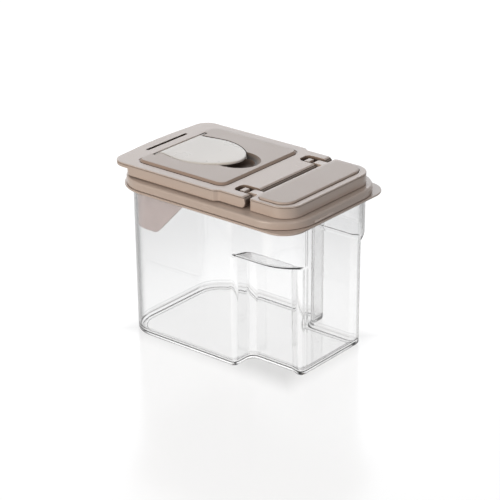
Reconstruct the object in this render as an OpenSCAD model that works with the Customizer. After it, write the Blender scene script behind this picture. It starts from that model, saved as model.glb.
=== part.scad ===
// Clear storage keeper with a lift-off lid, a hinged main flap and a small flip spout in the flap.
// +X points to the hinge end, -X to the pouring end, +Z up; z = 0 is the face the tub stands on.

/* [Tub] */
// Length of the tub outside its walls at the mouth
tub_length = 185.6; // [176:0.2:200]
// Width of the tub outside its walls at the mouth
tub_width = 128.4; // [124:0.2:136]
// Height of the tub from the floor to the top of its rim
tub_height = 143.4; // [130:0.2:170]
// Thickness of the tub walls
tub_wall = 1.8; // [1.4:0.1:2.2]
// Thickness of the tub floor
tub_floor = 2.4; // [1.8:0.1:4]
// How far each wall leans in between mouth and floor
tub_draft = 0.8; // [0.2:0.1:1.6]
// Outside radius of the upright corners
tub_corner = 29; // [24:0.5:32]
// Outside radius between the floor and the walls
tub_foot = 2.6; // [2:0.2:4]
// Radius of the tub's foot edge inside
tub_inner_foot = 4.6; // [3:0.2:6]
// How far the rim stands out from the wall
rim_reach = 3.4; // [2.4:0.1:4.2]
// Thickness of the rim
rim_thick = 2; // [1.4:0.1:3]

/* [Hand grip] */
// Where the grip recess starts along the length
grip_start = 36.4; // [24:0.2:50]
// Half width of the tub between the two recesses
grip_half = 41; // [34:0.2:48]
// Height of the ledge over the recess at the outside wall
ledge_height = 104; // [80:1:116]
// How much lower the ledge is where it meets the recess wall
ledge_drop = 4; // [1:0.5:8]
// How far the recess wall turns outwards at the hinge end
grip_flare = 4.2; // [1:0.2:7]
// Length over which it turns outwards
grip_flare_length = 13; // [10:0.5:20]
// Radius of the upright outer edges of the recess
grip_edge = 6; // [4:0.5:8]
// Radius of the upright inner corner of the recess
grip_corner = 5.5; // [3:0.5:8]

/* [Lid base] */
// Gap between the tub rim and the band of the lid
band_gap = 0.4; // [0.3:0.1:0.8]
// Thickness of the band
band_wall = 1.7; // [1.3:0.1:2.2]
// Thickness of the top plate
base_plate = 1.9; // [1.5:0.1:2.6]
// How far the band reaches below the tub rim's top
band_drop = 4.9; // [3:0.1:8]
// How far the flange stands out from the band
flange_reach = 1.7; // [1:0.1:3]
// Thickness of the flange
flange_thick = 1.6; // [1.2:0.1:2.4]
// Flange corner radius at the hinge end, where the corners stand out as lift tabs
lift_tab_corner = 21; // [17:0.5:30]
// Gap between the plug wall and the inside of the tub
plug_gap = 0.35; // [0.3:0.05:0.8]
// Thickness of the plug wall
plug_wall = 1.2; // [1:0.1:1.8]
// Height of the silicone seal between rim and lid
seal_height = 2; // [1.4:0.1:3]
// Gap between the seal and the tub's rim
seal_gap = 0.2; // [0.1:0.05:0.4]
// Height of the collar around the opening
collar_height = 6.4; // [4:0.1:7]
// Thickness of the collar
collar_wall = 1.6; // [1.2:0.1:2]
// Length of the rib that catches the flap's skirt at the pouring end
catch_length = 48; // [20:1:80]
// Height of the catch rib
catch_height = 5.6; // [3:0.1:6]
// Gap between the catch rib and the skirt
catch_gap = 0.35; // [0.25:0.05:0.6]

/* [Pouring chute] */
// How far the chute hangs below the flange
chute_drop = 36.5; // [20:0.5:50]
// Length of the chute along its lower edge
chute_low_length = 36; // [24:0.5:44]
// Length of the chute at its upper edge
chute_high_length = 74; // [64:0.5:84]
// Thickness of the chute
chute_wall = 1.5; // [1.2:0.1:2]
// Radius of the chute's lower corners
chute_corner = 8; // [4:0.5:12]

/* [Hinge] */
// Distance of the hinge axis from the plateau of the flap
hinge_reach = 25.6; // [24:0.2:30]
// Height of the hinge axis above the lid base
hinge_rise = 6.2; // [5.8:0.1:6.6]
// Radius of the hinge bars moulded into the flap
bar_r = 1.9; // [1.6:0.1:2.2]
// Radial running clearance of the bars in their hooks
bar_clearance = 0.05; // [0.02:0.01:0.1]
// Outside radius of the hooks on the deck's arms
hook_out = 4.6; // [4:0.1:4.7]
// Distance of the windows' inner side from the middle
window_in = 37; // [30:0.2:39]
// Width of each window
window_width = 14.5; // [12:0.1:15]
// Length of each window in front of the axis
window_front = 16; // [13:0.2:18]
// Radius of the window's front corners
window_corner = 5; // [2:0.2:6]
// Distance of the arms' inner side from the middle
arm_in = 39.8; // [39.6:0.2:41]
// Width of each arm
arm_width = 7.8; // [5:0.1:9]
// Angle at which the stop blocks meet the arms
flap_open = 110; // [95:1:112]
// Length of the stop blocks
stop_length = 5.1; // [3:0.1:6]
// Height of the stop blocks above the axis
stop_rise = 4.1; // [3:0.1:4.4]
// Gap between the flap's tail and the deck
deck_gap = 2.8; // [2.4:0.1:4]

/* [Rear deck] */
// Height of the deck above the lid base
deck_height = 10.9; // [9.4:0.1:13]
// Half width of the deck
deck_half = 59.2; // [56:0.2:62]
// Distance from the deck to the outside of the band at the hinge end
deck_inset = 6.9; // [5:0.1:10]
// Outside corner radius of the deck
deck_corner = 18; // [10:0.5:24]
// Wall thickness of the deck
deck_wall = 1.8; // [1.4:0.1:2.4]
// Shadow gap under the skirt of the deck
skirt_gap = 0.4; // [0.3:0.1:1]
// Margin from the deck's edge to its raised panel
panel_margin = 6.2; // [4:0.1:10]
// Thickness of the deck's top
deck_plate = 2.4; // [1.8:0.1:3]
// Width of the groove round the panel
groove_width = 0.8; // [0.4:0.1:1.4]
// Depth of the groove round the panel
groove_depth = 0.7; // [0.3:0.1:1]
// Height of the raised panel
panel_rise = 1.6; // [0.8:0.1:2.4]
// Radius of the panel's corners at the hinge end
panel_corner = 12.5; // [6:0.5:16]
// Width of a clip leg
clip_width = 8; // [5:0.5:12]
// Thickness of a clip leg
clip_thick = 1.8; // [1.2:0.1:2.4]
// How far a clip's barb reaches under the plate
clip_barb = 1; // [0.6:0.1:1.6]
// Half distance between the posts that carry the deck
post_half = 30; // [16:1:34]
// Radius of the posts that carry the deck
post_r = 3; // [2:0.1:5]

/* [Main flap] */
// Height of the flap's top above the lid base
flap_height = 11.2; // [10.6:0.1:12.4]
// Half width of the flap
flap_half = 63.4; // [62.8:0.1:65]
// Wall thickness of the flap
flap_wall = 1.8; // [1.4:0.1:1.9]
// Thickness of the flap's top plate
flap_plate = 2; // [1.6:0.1:2.4]
// Gap under the flap's skirt
flap_lift = 1.1; // [0.6:0.1:2]
// Gap from the skirt's front to the outside of the band
flap_inset = 9.3; // [8.8:0.1:10.4]
// Outside corner radius of the skirt at the front
flap_corner = 10; // [6:0.5:14]
// Half width of the flap beside the hinge
ear_half = 60.2; // [58:0.1:60.4]
// How far the lip reaches beyond the skirt's front
lip_reach = 17; // [10:0.5:22]
// Height of the lip's edge
lip_edge = 3.7; // [2.6:0.1:5]
// How far the lip bows out in the middle
lip_bow = 1.6; // [0.4:0.1:3]
// Length of the slot in the lip
slot_length = 53; // [30:1:80]
// Width of the slot in the lip
slot_width = 2.2; // [1.2:0.1:3]
// Distance of the slot from the skirt's front
slot_offset = 4.7; // [3.8:0.1:8]
// Height of the plateau on the flap
plateau_rise = 1.9; // [1.7:0.1:3]
// Half width of the plateau at its foot
plateau_half = 52.6; // [40:0.2:54]
// Distance of the plateau from the skirt's front
plateau_front = 5.6; // [4:0.2:8]
// Distance from the finger dish to the end of the plateau
plateau_margin = 6.4; // [6:0.1:9]
// Slope of the plateau's side, measured level
plateau_slope = 2.5; // [1:0.1:4]
// Height of the flap's own seal
flap_seal_height = 2; // [1.2:0.1:2.4]
// Width of the flap's own seal
flap_seal_width = 3; // [2.4:0.1:4]

/* [Flip spout] */
// Distance of the spout tab's axis from the skirt's front
tab_axis_offset = 11.3; // [10:0.1:13]
// Length of the tab that lies level before it rises to its tip
tab_level = 18; // [4:1:40]
// Length of the spout tab from its axis to its tip
tab_length = 69.7; // [60:0.1:72]
// Half width of the tab at its widest
tab_half = 31.2; // [26:0.1:34]
// Half width of the tab at its hinge edge
tab_hinge_half = 27.4; // [22:0.1:30]
// Thickness of the tab
tab_thick = 2.2; // [2:0.1:2.6]
// How far the tip of the tab stands above the plateau
tab_tip_rise = 1.2; // [0:0.1:1.5]
// Gap around the tab in its seat
tab_gap = 0.6; // [0.4:0.1:1]
// Depth from the tab's underside to the floor of its seat
seat_gap = 1; // [0.8:0.1:1.4]
// Thickness of the seat's floor
seat_floor = 1.8; // [1.4:0.1:2.4]
// Radius of the tab's trunnions
trunnion_r = 1.05; // [0.9:0.05:1.1]
// Length of each trunnion
trunnion_length = 6; // [3:0.1:7]
// Length of the pouring hole
hole_length = 44; // [30:0.5:46]
// Half width of the pouring hole
hole_half = 21; // [14:0.2:23]
// Distance of the pouring hole from the tab's axis
hole_offset = 8; // [7:0.1:10]
// Gap between the tab's plug and the hole
plug_fit = 0.5; // [0.4:0.1:0.8]
// Depth of the tab's plug below the tab
tab_plug = 3.4; // [2.6:0.1:4]
// Thickness of the tab's plug wall
tab_plug_wall = 1.4; // [1:0.1:2]
// Thickness of the seal under the tab
spout_seal = 0.7; // [0.4:0.05:0.8]
// Width of the seal under the tab
spout_seal_width = 3; // [2:0.1:3.6]
// Half width of the finger dish
dish_half = 19.5; // [14:0.5:22]
// How far the dish reaches beyond the tab's tip
dish_reach = 17; // [8:0.5:20]
// How far the dish starts before the tab's tip
dish_behind = 7; // [4:0.5:10]
// Depth of the finger dish below the raised panel, in the well in front of the tab
dish_depth = 7; // [5:0.5:8]

/* [Hidden] */
$fn = 64;
taupe = [0.66, 0.60, 0.57];
cream = [0.83, 0.81, 0.77];
silicone = [0.86, 0.86, 0.84];
far = 400;          // larger than any size of the part
eps = 0.02;         // thickness of a slice inside a hull
half_l = tub_length / 2;
half_w = tub_width / 2;
// outline of the lid, stepped out from the tub
band_step = rim_reach + band_gap + band_wall;
band_x = half_l + band_step;
band_y = half_w + band_step;
band_r = tub_corner + band_step;
band_low = tub_height - band_drop;
plate_low = tub_height + seal_gap + seal_height;
plate_top = plate_low + base_plate;
edge_round = 1.6;
top_round = 1.2;
// plug wall inside the mouth
plug_out = tub_wall + plug_gap;
plug_in = plug_out + plug_wall;
// flap: skirt, lip and the spout tab set out from the skirt's front
flap_x0 = -band_x + flap_inset;
flap_low = plate_top + flap_lift;
flap_top = plate_top + flap_height;
under = flap_top - flap_plate;
lip_x = flap_x0 - lip_reach;
lip_corner = 11;
plateau_x0 = flap_x0 + plateau_front;
plateau_top = flap_top + plateau_rise;
tab_x = flap_x0 + tab_axis_offset;
tab_low = plateau_top - tab_thick;
tab_z = plateau_top - tab_thick / 2;
tab_edge = tab_thick / 2;
tab_tip = tab_x + tab_length;
tab_wide_x = tab_x + 27.7;
tab_power = 1.8;
seat_z = tab_low - seat_gap;
hole_x = tab_x + hole_offset;
dish_length = dish_reach + dish_behind;
dish_floor = plateau_top - dish_depth;
dish_end = tab_tip + dish_reach;
// the well of the dish lies between the seal's seat and the dish's own slope
well_x0 = hole_x + hole_length + spout_seal_width + 2.6;
well_x1 = dish_end - 6;
well_half = dish_half - 6;
// collar and opening: inside the chute, and clear of the finger dish
chute_out = plug_in + 0.1;
open_in = chute_out + chute_wall + 0.7;
open_x = -half_l + open_in + 3;
open_y = half_w - open_in;
open_r = tub_corner - open_in - 3;
open_end = dish_end + 0.5 + (flap_seal_width - collar_wall) / 2;
open_end_r = 5;
collar_end = open_end + collar_wall;
collar_top = plate_top + collar_height;
catch_wall = 1.6;
// plateau and hinge; the flap's tail is round about the axis
plateau_x1 = dish_end + plateau_margin;
ear_x = plateau_x1;
hinge_x = plateau_x1 + hinge_reach;
hinge_z = plate_top + hinge_rise;
hook_r = bar_r + bar_clearance;
tail_r = flap_height - hinge_rise;
window_x = hinge_x - window_front;
window_mid = window_in + window_width / 2;
arm_mid = arm_in + arm_width / 2;
stop_gap = 0.15;
stop_x = hinge_x - (hook_out + stop_gap - stop_rise * cos(flap_open)) / sin(flap_open);
// rear deck
deck_x0 = hinge_x + tail_r + deck_gap;
deck_x1 = band_x - deck_inset;
deck_low = plate_top + skirt_gap;
deck_top = plate_top + deck_height;
deck_side_r = 2.4;
panel_x0 = deck_x0 + panel_margin - 1.4;
panel_x1 = deck_x1 - panel_margin - groove_width;
panel_half = deck_half - panel_margin + 1;
panel_side_r = 4;

// ---------- outlines ----------

// Rounded outline from x0 to x1, built from true arcs, with its own radius at each end
module outline(x0, x1, half, r0, r1) {
    for (s = [-1, 1]) {
        translate([x0 + r0, s * (half - r0)]) circle(r0);
        translate([x1 - r1, s * (half - r1)]) circle(r1);
    }
    translate([x0 + r0, -half]) square([x1 - r1 - x0 - r0, 2 * half]);
    translate([x0, -half + r0]) square([r0 + eps, 2 * (half - r0)]);
    translate([x1 - r1 - eps, -half + r1]) square([r1 + eps, 2 * (half - r1)]);
}

// Straight-sided block with the outline above
module block(z0, z1, x0, x1, half, r0, r1) {
    translate([0, 0, z0]) linear_extrude(z1 - z0) outline(x0, x1, half, r0, r1);
}

// Thin slice of the same outline, for the hulls; only its four corners are drawn
module slice(z, x0, x1, half, r0, r1, inset = 0) {
    for (s = [-1, 1]) {
        translate([x0 + r0, s * (half - r0), z]) cylinder(r = r0 - inset, h = eps, $fn = 32);
        translate([x1 - r1, s * (half - r1), z]) cylinder(r = r1 - inset, h = eps, $fn = 32);
    }
}

// Block with a drafted side and a rounded top edge
module soft_block(z0, z1, x0, x1, half, r0, r1) {
    hull() {
        slice(z0, x0, x1, half, r0, r1, 0.3);
        slice(z1 - top_round, x0, x1, half, r0, r1);
        slice(z1 - top_round * 0.3, x0, x1, half, r0, r1, top_round * 0.3);
        slice(z1 - eps, x0, x1, half, r0, r1, top_round);
    }
}

// Ring between two insets of the tub's outline
module tub_ring(z0, z1, outer, inner) {
    difference() {
        block(z0, z1, -half_l + outer, half_l - outer, half_w - outer, tub_corner - outer, tub_corner - outer);
        block(z0 - 1, z1 + 1, -half_l + inner, half_l - inner, half_w - inner, tub_corner - inner, tub_corner - inner);
    }
}

// Prism with a side profile in X and Z, as wide as the lid
module side_prism(points, half = far / 2) {
    translate([0, half, 0]) rotate([90, 0, 0]) linear_extrude(2 * half) polygon(points);
}

// ---------- tub ----------

module tub_solid(inset, floor_z, top_z, foot) {
    hull() {
        slice(floor_z, -half_l, half_l, half_w, tub_corner, tub_corner, inset + tub_draft + foot * 0.75);
        slice(floor_z + foot * 0.08, -half_l, half_l, half_w, tub_corner, tub_corner, inset + tub_draft + foot * 0.45);
        slice(floor_z + foot * 0.35, -half_l, half_l, half_w, tub_corner, tub_corner, inset + tub_draft + foot * 0.12);
        slice(floor_z + foot, -half_l, half_l, half_w, tub_corner, tub_corner, inset + tub_draft);
        slice(top_z - eps, -half_l, half_l, half_w, tub_corner, tub_corner, inset);
    }
}

// Plan of the tub beside the -Y recess, set in by a wall, with its upright edges rounded
module grip_wall_plan(inset) {
    wall_y = half_w - tub_draft * 0.6;
    end_x = half_l - tub_draft * 0.6;
    crease = end_x - grip_flare_length;
    offset(r = -grip_corner - inset) offset(delta = grip_corner + inset)
        offset(r = grip_edge - inset) offset(delta = -grip_edge + inset) offset(delta = -inset)
            polygon([[-far / 2, -wall_y], [grip_start, -wall_y], [grip_start, -grip_half], [crease, -grip_half],
                     [end_x, -grip_half - grip_flare], [end_x, far / 2], [-far / 2, far / 2]]);
}

module grip_recess(grow) {
    slope = ledge_drop / (half_w - grip_half);
    inner_y = -grip_half + 12;
    outer_y = -half_w - 10;
    function ledge_z(y) = ledge_height + grow - (y + half_w) * slope;
    intersection() {
        translate([0, 0, -10]) linear_extrude(far) difference() {
            translate([grip_start - grip_edge, -far / 2]) square([far, far / 2]);
            grip_wall_plan(grow);
        }
        translate([-far / 2, 0, 0]) rotate([90, 0, 90]) linear_extrude(far)
            polygon([[inner_y, -10], [outer_y, -10], [outer_y, ledge_z(outer_y)], [inner_y, ledge_z(inner_y)]]);
    }
}

module both_grips(grow) {
    grip_recess(grow);
    mirror([0, 1, 0]) grip_recess(grow);
}

module tub() {
    color([0.9, 0.93, 0.95, 0.35]) union() {
        difference() {
            tub_solid(0, 0, tub_height, tub_foot);
            both_grips(0);
            difference() {
                tub_solid(tub_wall, tub_floor, tub_height + 1, tub_inner_foot);
                both_grips(tub_wall);
            }
        }
        tub_ring(tub_height - rim_thick, tub_height, -rim_reach, tub_wall / 2);
    }
}

// ---------- lid base ----------

module band_solid() {
    hull() {
        slice(band_low, -band_x, band_x, band_y, band_r, band_r);
        slice(plate_top - edge_round, -band_x, band_x, band_y, band_r, band_r);
        slice(plate_top - edge_round * 0.3, -band_x, band_x, band_y, band_r, band_r, edge_round * 0.3);
        slice(plate_top - eps, -band_x, band_x, band_y, band_r, band_r, edge_round);
    }
}

// Where the four clip legs of the deck go through the plate: [x, y, side]
clip_play = 0.4;
clip_spots = [for (x = [deck_x0 + 9, deck_x1 - 16], side = [-1, 1]) [x, side * (deck_half - 14), side]];

module clip_slots() {
    for (c = clip_spots)
        translate([c[0] - clip_width / 2 - clip_play, c[1] - clip_thick / 2 - clip_play - (c[2] < 0 ? clip_barb : 0), plate_low - 1])
            cube([clip_width + 2 * clip_play, clip_thick + clip_barb + 2 * clip_play, base_plate + 2]);
}

module lid_base() {
    color(taupe) union() {
        difference() {
            union() {
                band_solid();
                block(band_low, band_low + flange_thick, -band_x - flange_reach, band_x + flange_reach,
                      band_y + flange_reach, band_r + flange_reach, lift_tab_corner);
                block(plate_low, collar_top, open_x - collar_wall, collar_end,
                      open_y + collar_wall, open_r + collar_wall, open_end_r + collar_wall);
                // rib that the flap's skirt closes behind
                translate([flap_x0 - catch_gap - catch_wall, -catch_length / 2, plate_low])
                    cube([catch_wall, catch_length, base_plate + catch_height]);
            }
            // hollow over the rim, then the opening inside the collar
            block(band_low - 1, plate_low, -band_x + band_wall, band_x - band_wall,
                  band_y - band_wall, band_r - band_wall, band_r - band_wall);
            block(plate_low - 1, far, open_x, open_end, open_y, open_r, open_end_r);
            clip_slots();
        }
        tub_ring(band_low, plate_low + eps, plug_out, plug_in);
    }
}

module lid_seal() {
    color(silicone) tub_ring(tub_height + seal_gap, plate_low, -rim_reach + 0.2, plug_out - 0.2);
}

// ---------- pouring chute ----------

module pour_chute() {
    outer = chute_out;
    low = band_low - chute_drop;
    left = -half_l;
    steps = 8;
    corner_x = left + outer + chute_low_length - chute_corner;
    color(taupe) intersection() {
        tub_ring(low, plate_low, outer, outer + chute_wall);
        side_prism(concat(
            [[left - 1, plate_low], [left - 1, low]],
            [for (i = [0:steps]) [corner_x + chute_corner * sin(45 * i / steps), low + chute_corner * (1 - cos(45 * i / steps))]],
            [[left + chute_high_length, band_low - 1], [left + chute_high_length, plate_low]]));
    }
}

// ---------- rear deck ----------

module deck_panel() {
    top = deck_top + panel_rise;
    hull() {
        slice(deck_top - 1, panel_x0, panel_x1, panel_half, panel_side_r, panel_corner);
        slice(top - 0.4, panel_x0, panel_x1, panel_half, panel_side_r, panel_corner, 1.2);
        slice(top - eps, panel_x0, panel_x1, panel_half, panel_side_r, panel_corner, 1.7);
    }
}

// Arm from the deck to the axis; its hook is open below, so it snaps down over the flap's bar
module hinge_arm(side) {
    snap = bar_r * 0.84;
    translate([0, side * arm_mid, hinge_z]) difference() {
        union() {
            translate([hinge_x, arm_width / 2, 0]) rotate([90, 0, 0]) cylinder(r = hook_out, h = arm_width);
            translate([hinge_x, -arm_width / 2, -hook_out]) cube([deck_x0 + 1 - hinge_x, arm_width, 2 * hook_out]);
        }
        translate([hinge_x, arm_width, 0]) rotate([90, 0, 0]) cylinder(r = hook_r, h = 2 * arm_width);
        translate([hinge_x - snap, -arm_width, -far]) cube([2 * snap, 2 * arm_width, far]);
    }
}

module clip_leg(c) {
    tip = plate_low - 3;
    translate([c[0] + clip_width / 2, c[1], 0]) rotate([90, 0, -90]) linear_extrude(clip_width)
        polygon([[-c[2] * clip_thick / 2, deck_top - 1], [-c[2] * clip_thick / 2, tip], [0, tip],
                 [c[2] * (clip_thick / 2 + clip_barb), plate_low - 0.1 - clip_barb], [c[2] * (clip_thick / 2 + clip_barb), plate_low - 0.1],
                 [c[2] * clip_thick / 2, plate_low - 0.1], [c[2] * clip_thick / 2, deck_top - 1]]);
}

module rear_deck() {
    w = deck_wall;
    color(taupe) union() {
        difference() {
            soft_block(deck_low, deck_top, deck_x0, deck_x1, deck_half, deck_side_r, deck_corner);
            // groove around the panel, and the hollow under the top
            block(deck_top - groove_depth, far, panel_x0 - groove_width, panel_x1 + groove_width,
                  panel_half + groove_width, panel_side_r + groove_width, panel_corner + groove_width);
            block(deck_low - 1, deck_top - deck_plate, deck_x0 + w, deck_x1 - w, deck_half - w, 1, deck_corner - w);
        }
        deck_panel();
        for (side = [-1, 1]) hinge_arm(side);
        for (x = [deck_x0 + 9, deck_x1 - 12], y = [-post_half, post_half])
            translate([x, y, plate_top]) cylinder(r = post_r, h = deck_top - 1 - plate_top);
        for (c = clip_spots) clip_leg(c);
    }
}

// ---------- main flap ----------

// Body of the flap: wide part, narrower part beside the hinge, round tail about the axis
module flap_solid() {
    soft_block(flap_low, flap_top, flap_x0, ear_x, flap_half, flap_corner, 3);
    soft_block(flap_low, flap_top, ear_x - 20, hinge_x, ear_half, 3, 1.4);
    translate([hinge_x, ear_half - 0.3, hinge_z]) rotate([90, 0, 0]) cylinder(r = tail_r, h = 2 * ear_half - 0.6);
}

// Hollow under the flap's plate
module flap_hollow() {
    w = flap_wall;
    block(flap_low - 1, under, flap_x0 + w, ear_x - w, flap_half - w, flap_corner - w, 1);
    block(flap_low - 1, under, ear_x - w - 10, hinge_x, ear_half - w, 1, 0.5);
    translate([hinge_x, ear_half - w, hinge_z]) rotate([90, 0, 0]) cylinder(r = tail_r - flap_plate, h = 2 * (ear_half - w));
    block(flap_top - lip_edge - 1, under, lip_x + lip_bow + w, flap_x0, flap_half - w, lip_corner - w, 1);
    block(under - 1, flap_top, plateau_x0 + plateau_slope + w, dish_end - 1, plateau_half - plateau_slope - w, 6, 6);
}

// One slice of the lip; its front edge is a shallow bow
module lip_slice(z, inset) {
    slice(z, lip_x + lip_bow, flap_x0 + lip_reach, flap_half, lip_corner, 3, inset);
    for (t = [-1:0.25:1])
        translate([lip_x + lip_bow * t * t + 2, t * (flap_half - lip_corner), z]) cylinder(r = 2 - inset, h = eps, $fn = 16);
}

module lip_solid() {
    hull() {
        lip_slice(flap_top - lip_edge, 0.4);
        lip_slice(flap_top - 1.2, 0);
        lip_slice(flap_top - 0.4, 0.4);
        lip_slice(flap_top - eps, 1.2);
    }
}

module plateau_solid() {
    hull() {
        slice(flap_top - 1, plateau_x0, plateau_x1, plateau_half, 9, 8);
        slice(flap_top, plateau_x0, plateau_x1, plateau_half, 9, 8);
        slice(plateau_top - 0.5, plateau_x0, plateau_x1, plateau_half, 9, 8, plateau_slope * 0.72);
        slice(plateau_top - eps, plateau_x0, plateau_x1, plateau_half, 9, 8, plateau_slope);
    }
}

// Plan of the tab: straight hinge edge, slightly wider middle and an oval tip; grow moves it outwards
function ease(t) = (1 - cos(180 * t)) / 2;
function tab_side(grow) = concat(
    [for (i = [0:6]) let (t = i / 6) [tab_x - tab_edge - grow + (tab_wide_x - tab_x + tab_edge + grow) * t,
                                    tab_hinge_half + grow + (tab_half - tab_hinge_half) * ease(t)]],
    [for (i = [1:18]) let (a = 5 * i, reach = tab_tip - tab_wide_x + grow)
        [tab_wide_x + reach * pow(sin(a), 2 / tab_power), (tab_half + grow) * pow(max(cos(a), 0), 2 / tab_power)]]);
function flipped(points) = [for (i = [len(points) - 2:-1:0]) [points[i][0], -points[i][1]]];

module tab_plan(grow) {
    polygon(concat(tab_side(grow), flipped(tab_side(grow))));
}

// Oval pouring hole: half circle towards the hinge edge is flattened, both built from true arcs
module hole_plan(inset) {
    outline(hole_x + inset, hole_x + hole_length - inset, hole_half - inset, hole_half * 0.5 - inset, hole_half * 0.85 - inset);
}

// Oval of the finger dish at one height, smaller by step all round
module dish_slice(z, step) {
    translate([tab_tip - dish_behind, 0, z]) scale([(dish_length - step) / dish_length, (dish_half - step) / dish_length, 1])
        cylinder(r = dish_length, h = eps, $fn = 48);
}

module finger_dish() {
    hull() {
        dish_slice(seat_z, 6);
        dish_slice(seat_z + 0.9, 2.5);
        dish_slice(plateau_top + 0.1, 0);
    }
}

// Oval of the deep part of the dish at one height
module well_slice(z, step, lean, h = eps) {
    half = (well_x1 - well_x0) / 2;
    translate([(well_x0 + well_x1) / 2 - lean, 0, z]) scale([(half - step) / half, (well_half - step) / half, 1])
        cylinder(r = half, h = h, $fn = 48);
}

module finger_well() {
    hull() {
        well_slice(dish_floor, 4, 1.5);
        well_slice(dish_floor + 0.6, 2.5, 1);
        well_slice(seat_z, 0, 0);
        well_slice(seat_z + 0.4, 0, 0);
    }
}

// Window for one arm; grow gives the outline of the web around it
module window(side, z0, z1, grow) {
    translate([0, side * window_mid, 0])
        block(z0, z1, window_x - grow, hinge_x + 20, window_width / 2 + grow, window_corner + grow, 2);
}

// Block that meets the arm when the flap is fully open, on a low rib across the window
module stop_block(side) {
    x = stop_x - stop_length;
    low = hinge_z - tail_r + 1.2;
    translate([x, side * arm_mid - arm_width / 2, low]) cube([stop_length, arm_width, hinge_z + stop_rise - low]);
    translate([x, side * window_mid - window_width / 2 - 1, low]) cube([stop_length, window_width + 2, 3]);
}

module trunnion_seat(side) {
    length = trunnion_length + tab_gap;
    y0 = side > 0 ? tab_hinge_half : -tab_hinge_half - length;
    translate([tab_x, y0 + length, tab_z]) rotate([90, 0, 0]) cylinder(r = trunnion_r + bar_clearance, h = length);
    translate([tab_x - trunnion_r * 0.8, y0, tab_z]) cube([trunnion_r * 1.6, length, far]);
}

// Floor and wall under the tab's seat, the finger dish and the trunnions
module seat_boss() {
    low = seat_z - seat_floor;
    high = plateau_top - 1;
    translate([0, 0, low]) linear_extrude(high - low) tab_plan(tab_gap + flap_wall);
    translate([tab_tip - dish_behind, 0, low]) scale([1, dish_half / dish_length, 1]) cylinder(r = dish_length, h = high - low, $fn = 48);
    well_slice(dish_floor - seat_floor, -flap_wall, 0, high - dish_floor + seat_floor);
    for (side = [-1, 1]) translate([tab_x - 3, side * (tab_hinge_half + trunnion_length / 2) - 5, low]) cube([6, 10, high - low]);
}

module main_flap() {
    web = 1.6;
    color(taupe) union() {
        difference() {
            union() {
                difference() {
                    union() {
                        flap_solid();
                        lip_solid();
                        plateau_solid();
                    }
                    flap_hollow();
                }
                seat_boss();
                for (side = [-1, 1]) intersection() {
                    window(side, flap_low + 0.6, under + 0.5, web);
                    translate([0, 0, flap_low]) linear_extrude(far) square([2 * (hinge_x + 1), far], center = true);
                }
            }
            for (side = [-1, 1]) {
                window(side, flap_low - 1, far, 0);
                trunnion_seat(side);
            }
            // seat, dish, pouring hole and lip slot
            translate([0, 0, seat_z]) linear_extrude(far) tab_plan(tab_gap);
            finger_dish();
            finger_well();
            translate([0, 0, flap_low]) linear_extrude(far) hole_plan(0);
            translate([flap_x0 - slot_offset - slot_width / 2, -slot_length / 2, flap_low]) cube([slot_width, slot_length, far]);
        }
        for (side = [-1, 1]) {
            translate([hinge_x, side * window_mid + window_width / 2 + 1, hinge_z]) rotate([90, 0, 0]) cylinder(r = bar_r, h = window_width + 2);
            stop_block(side);
        }
    }
}

module flap_seal() {
    mid = collar_wall / 2;
    half = flap_seal_width / 2;
    color(silicone) difference() {
        block(under - flap_seal_height, under, open_x - mid - half, open_end + mid + half, open_y + mid + half, open_r + mid + half, open_end_r + mid + half);
        block(under - far / 2, far, open_x - mid + half, open_end + mid - half, open_y + mid - half, open_r + mid - half, open_end_r + mid - half);
    }
}

// ---------- spout tab ----------

module spout_tab() {
    slope_x = tab_x + tab_level;
    width = tab_half + 2;
    color(cream) union() {
        intersection() {
            linear_extrude(far) tab_plan(0);
            union() {
                side_prism([[tab_x, tab_low], [slope_x, tab_low], [tab_tip + 1, tab_low + tab_tip_rise],
                            [tab_tip + 1, plateau_top + tab_tip_rise], [slope_x, plateau_top], [tab_x, plateau_top]], width);
                translate([tab_x, width, tab_z]) rotate([90, 0, 0]) cylinder(r = tab_edge, h = 2 * width);
            }
        }
        // plug that fills the pouring hole
        translate([0, 0, tab_low - tab_plug]) linear_extrude(tab_plug + 0.6) difference() {
            hole_plan(plug_fit);
            hole_plan(plug_fit + tab_plug_wall);
        }
        translate([tab_x, tab_hinge_half + trunnion_length, tab_z]) rotate([90, 0, 0])
            cylinder(r = trunnion_r, h = 2 * (tab_hinge_half + trunnion_length));
    }
}

module spout_seal_ring() {
    color(silicone) translate([0, 0, tab_low - spout_seal]) linear_extrude(spout_seal) difference() {
        hole_plan(-spout_seal_width + plug_fit);
        hole_plan(plug_fit);
    }
}

tub();
lid_base();
lid_seal();
pour_chute();
rear_deck();
main_flap();
flap_seal();
spout_tab();
spout_seal_ring();
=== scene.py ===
"""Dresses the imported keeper: smooth moulded shells round the frame, clear and opaque plastics, and a plain studio."""

import math

import bmesh
import bpy
from mathutils import Matrix, Vector


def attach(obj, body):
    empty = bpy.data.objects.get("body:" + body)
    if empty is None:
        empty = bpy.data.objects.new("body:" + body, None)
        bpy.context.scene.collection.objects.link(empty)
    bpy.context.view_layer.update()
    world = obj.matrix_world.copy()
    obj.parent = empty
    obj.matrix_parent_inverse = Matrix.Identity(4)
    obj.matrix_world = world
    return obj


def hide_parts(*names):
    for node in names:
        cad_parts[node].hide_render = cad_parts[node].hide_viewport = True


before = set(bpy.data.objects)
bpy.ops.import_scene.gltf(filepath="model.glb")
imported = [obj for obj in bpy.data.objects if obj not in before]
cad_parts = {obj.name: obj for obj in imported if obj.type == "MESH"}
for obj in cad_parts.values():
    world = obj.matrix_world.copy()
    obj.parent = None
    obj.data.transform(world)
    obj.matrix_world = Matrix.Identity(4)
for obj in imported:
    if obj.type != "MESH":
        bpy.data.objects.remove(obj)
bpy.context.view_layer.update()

# All shells are drawn in millimetres and scaled once, when they are settled on their body.
MM = 0.001
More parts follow.
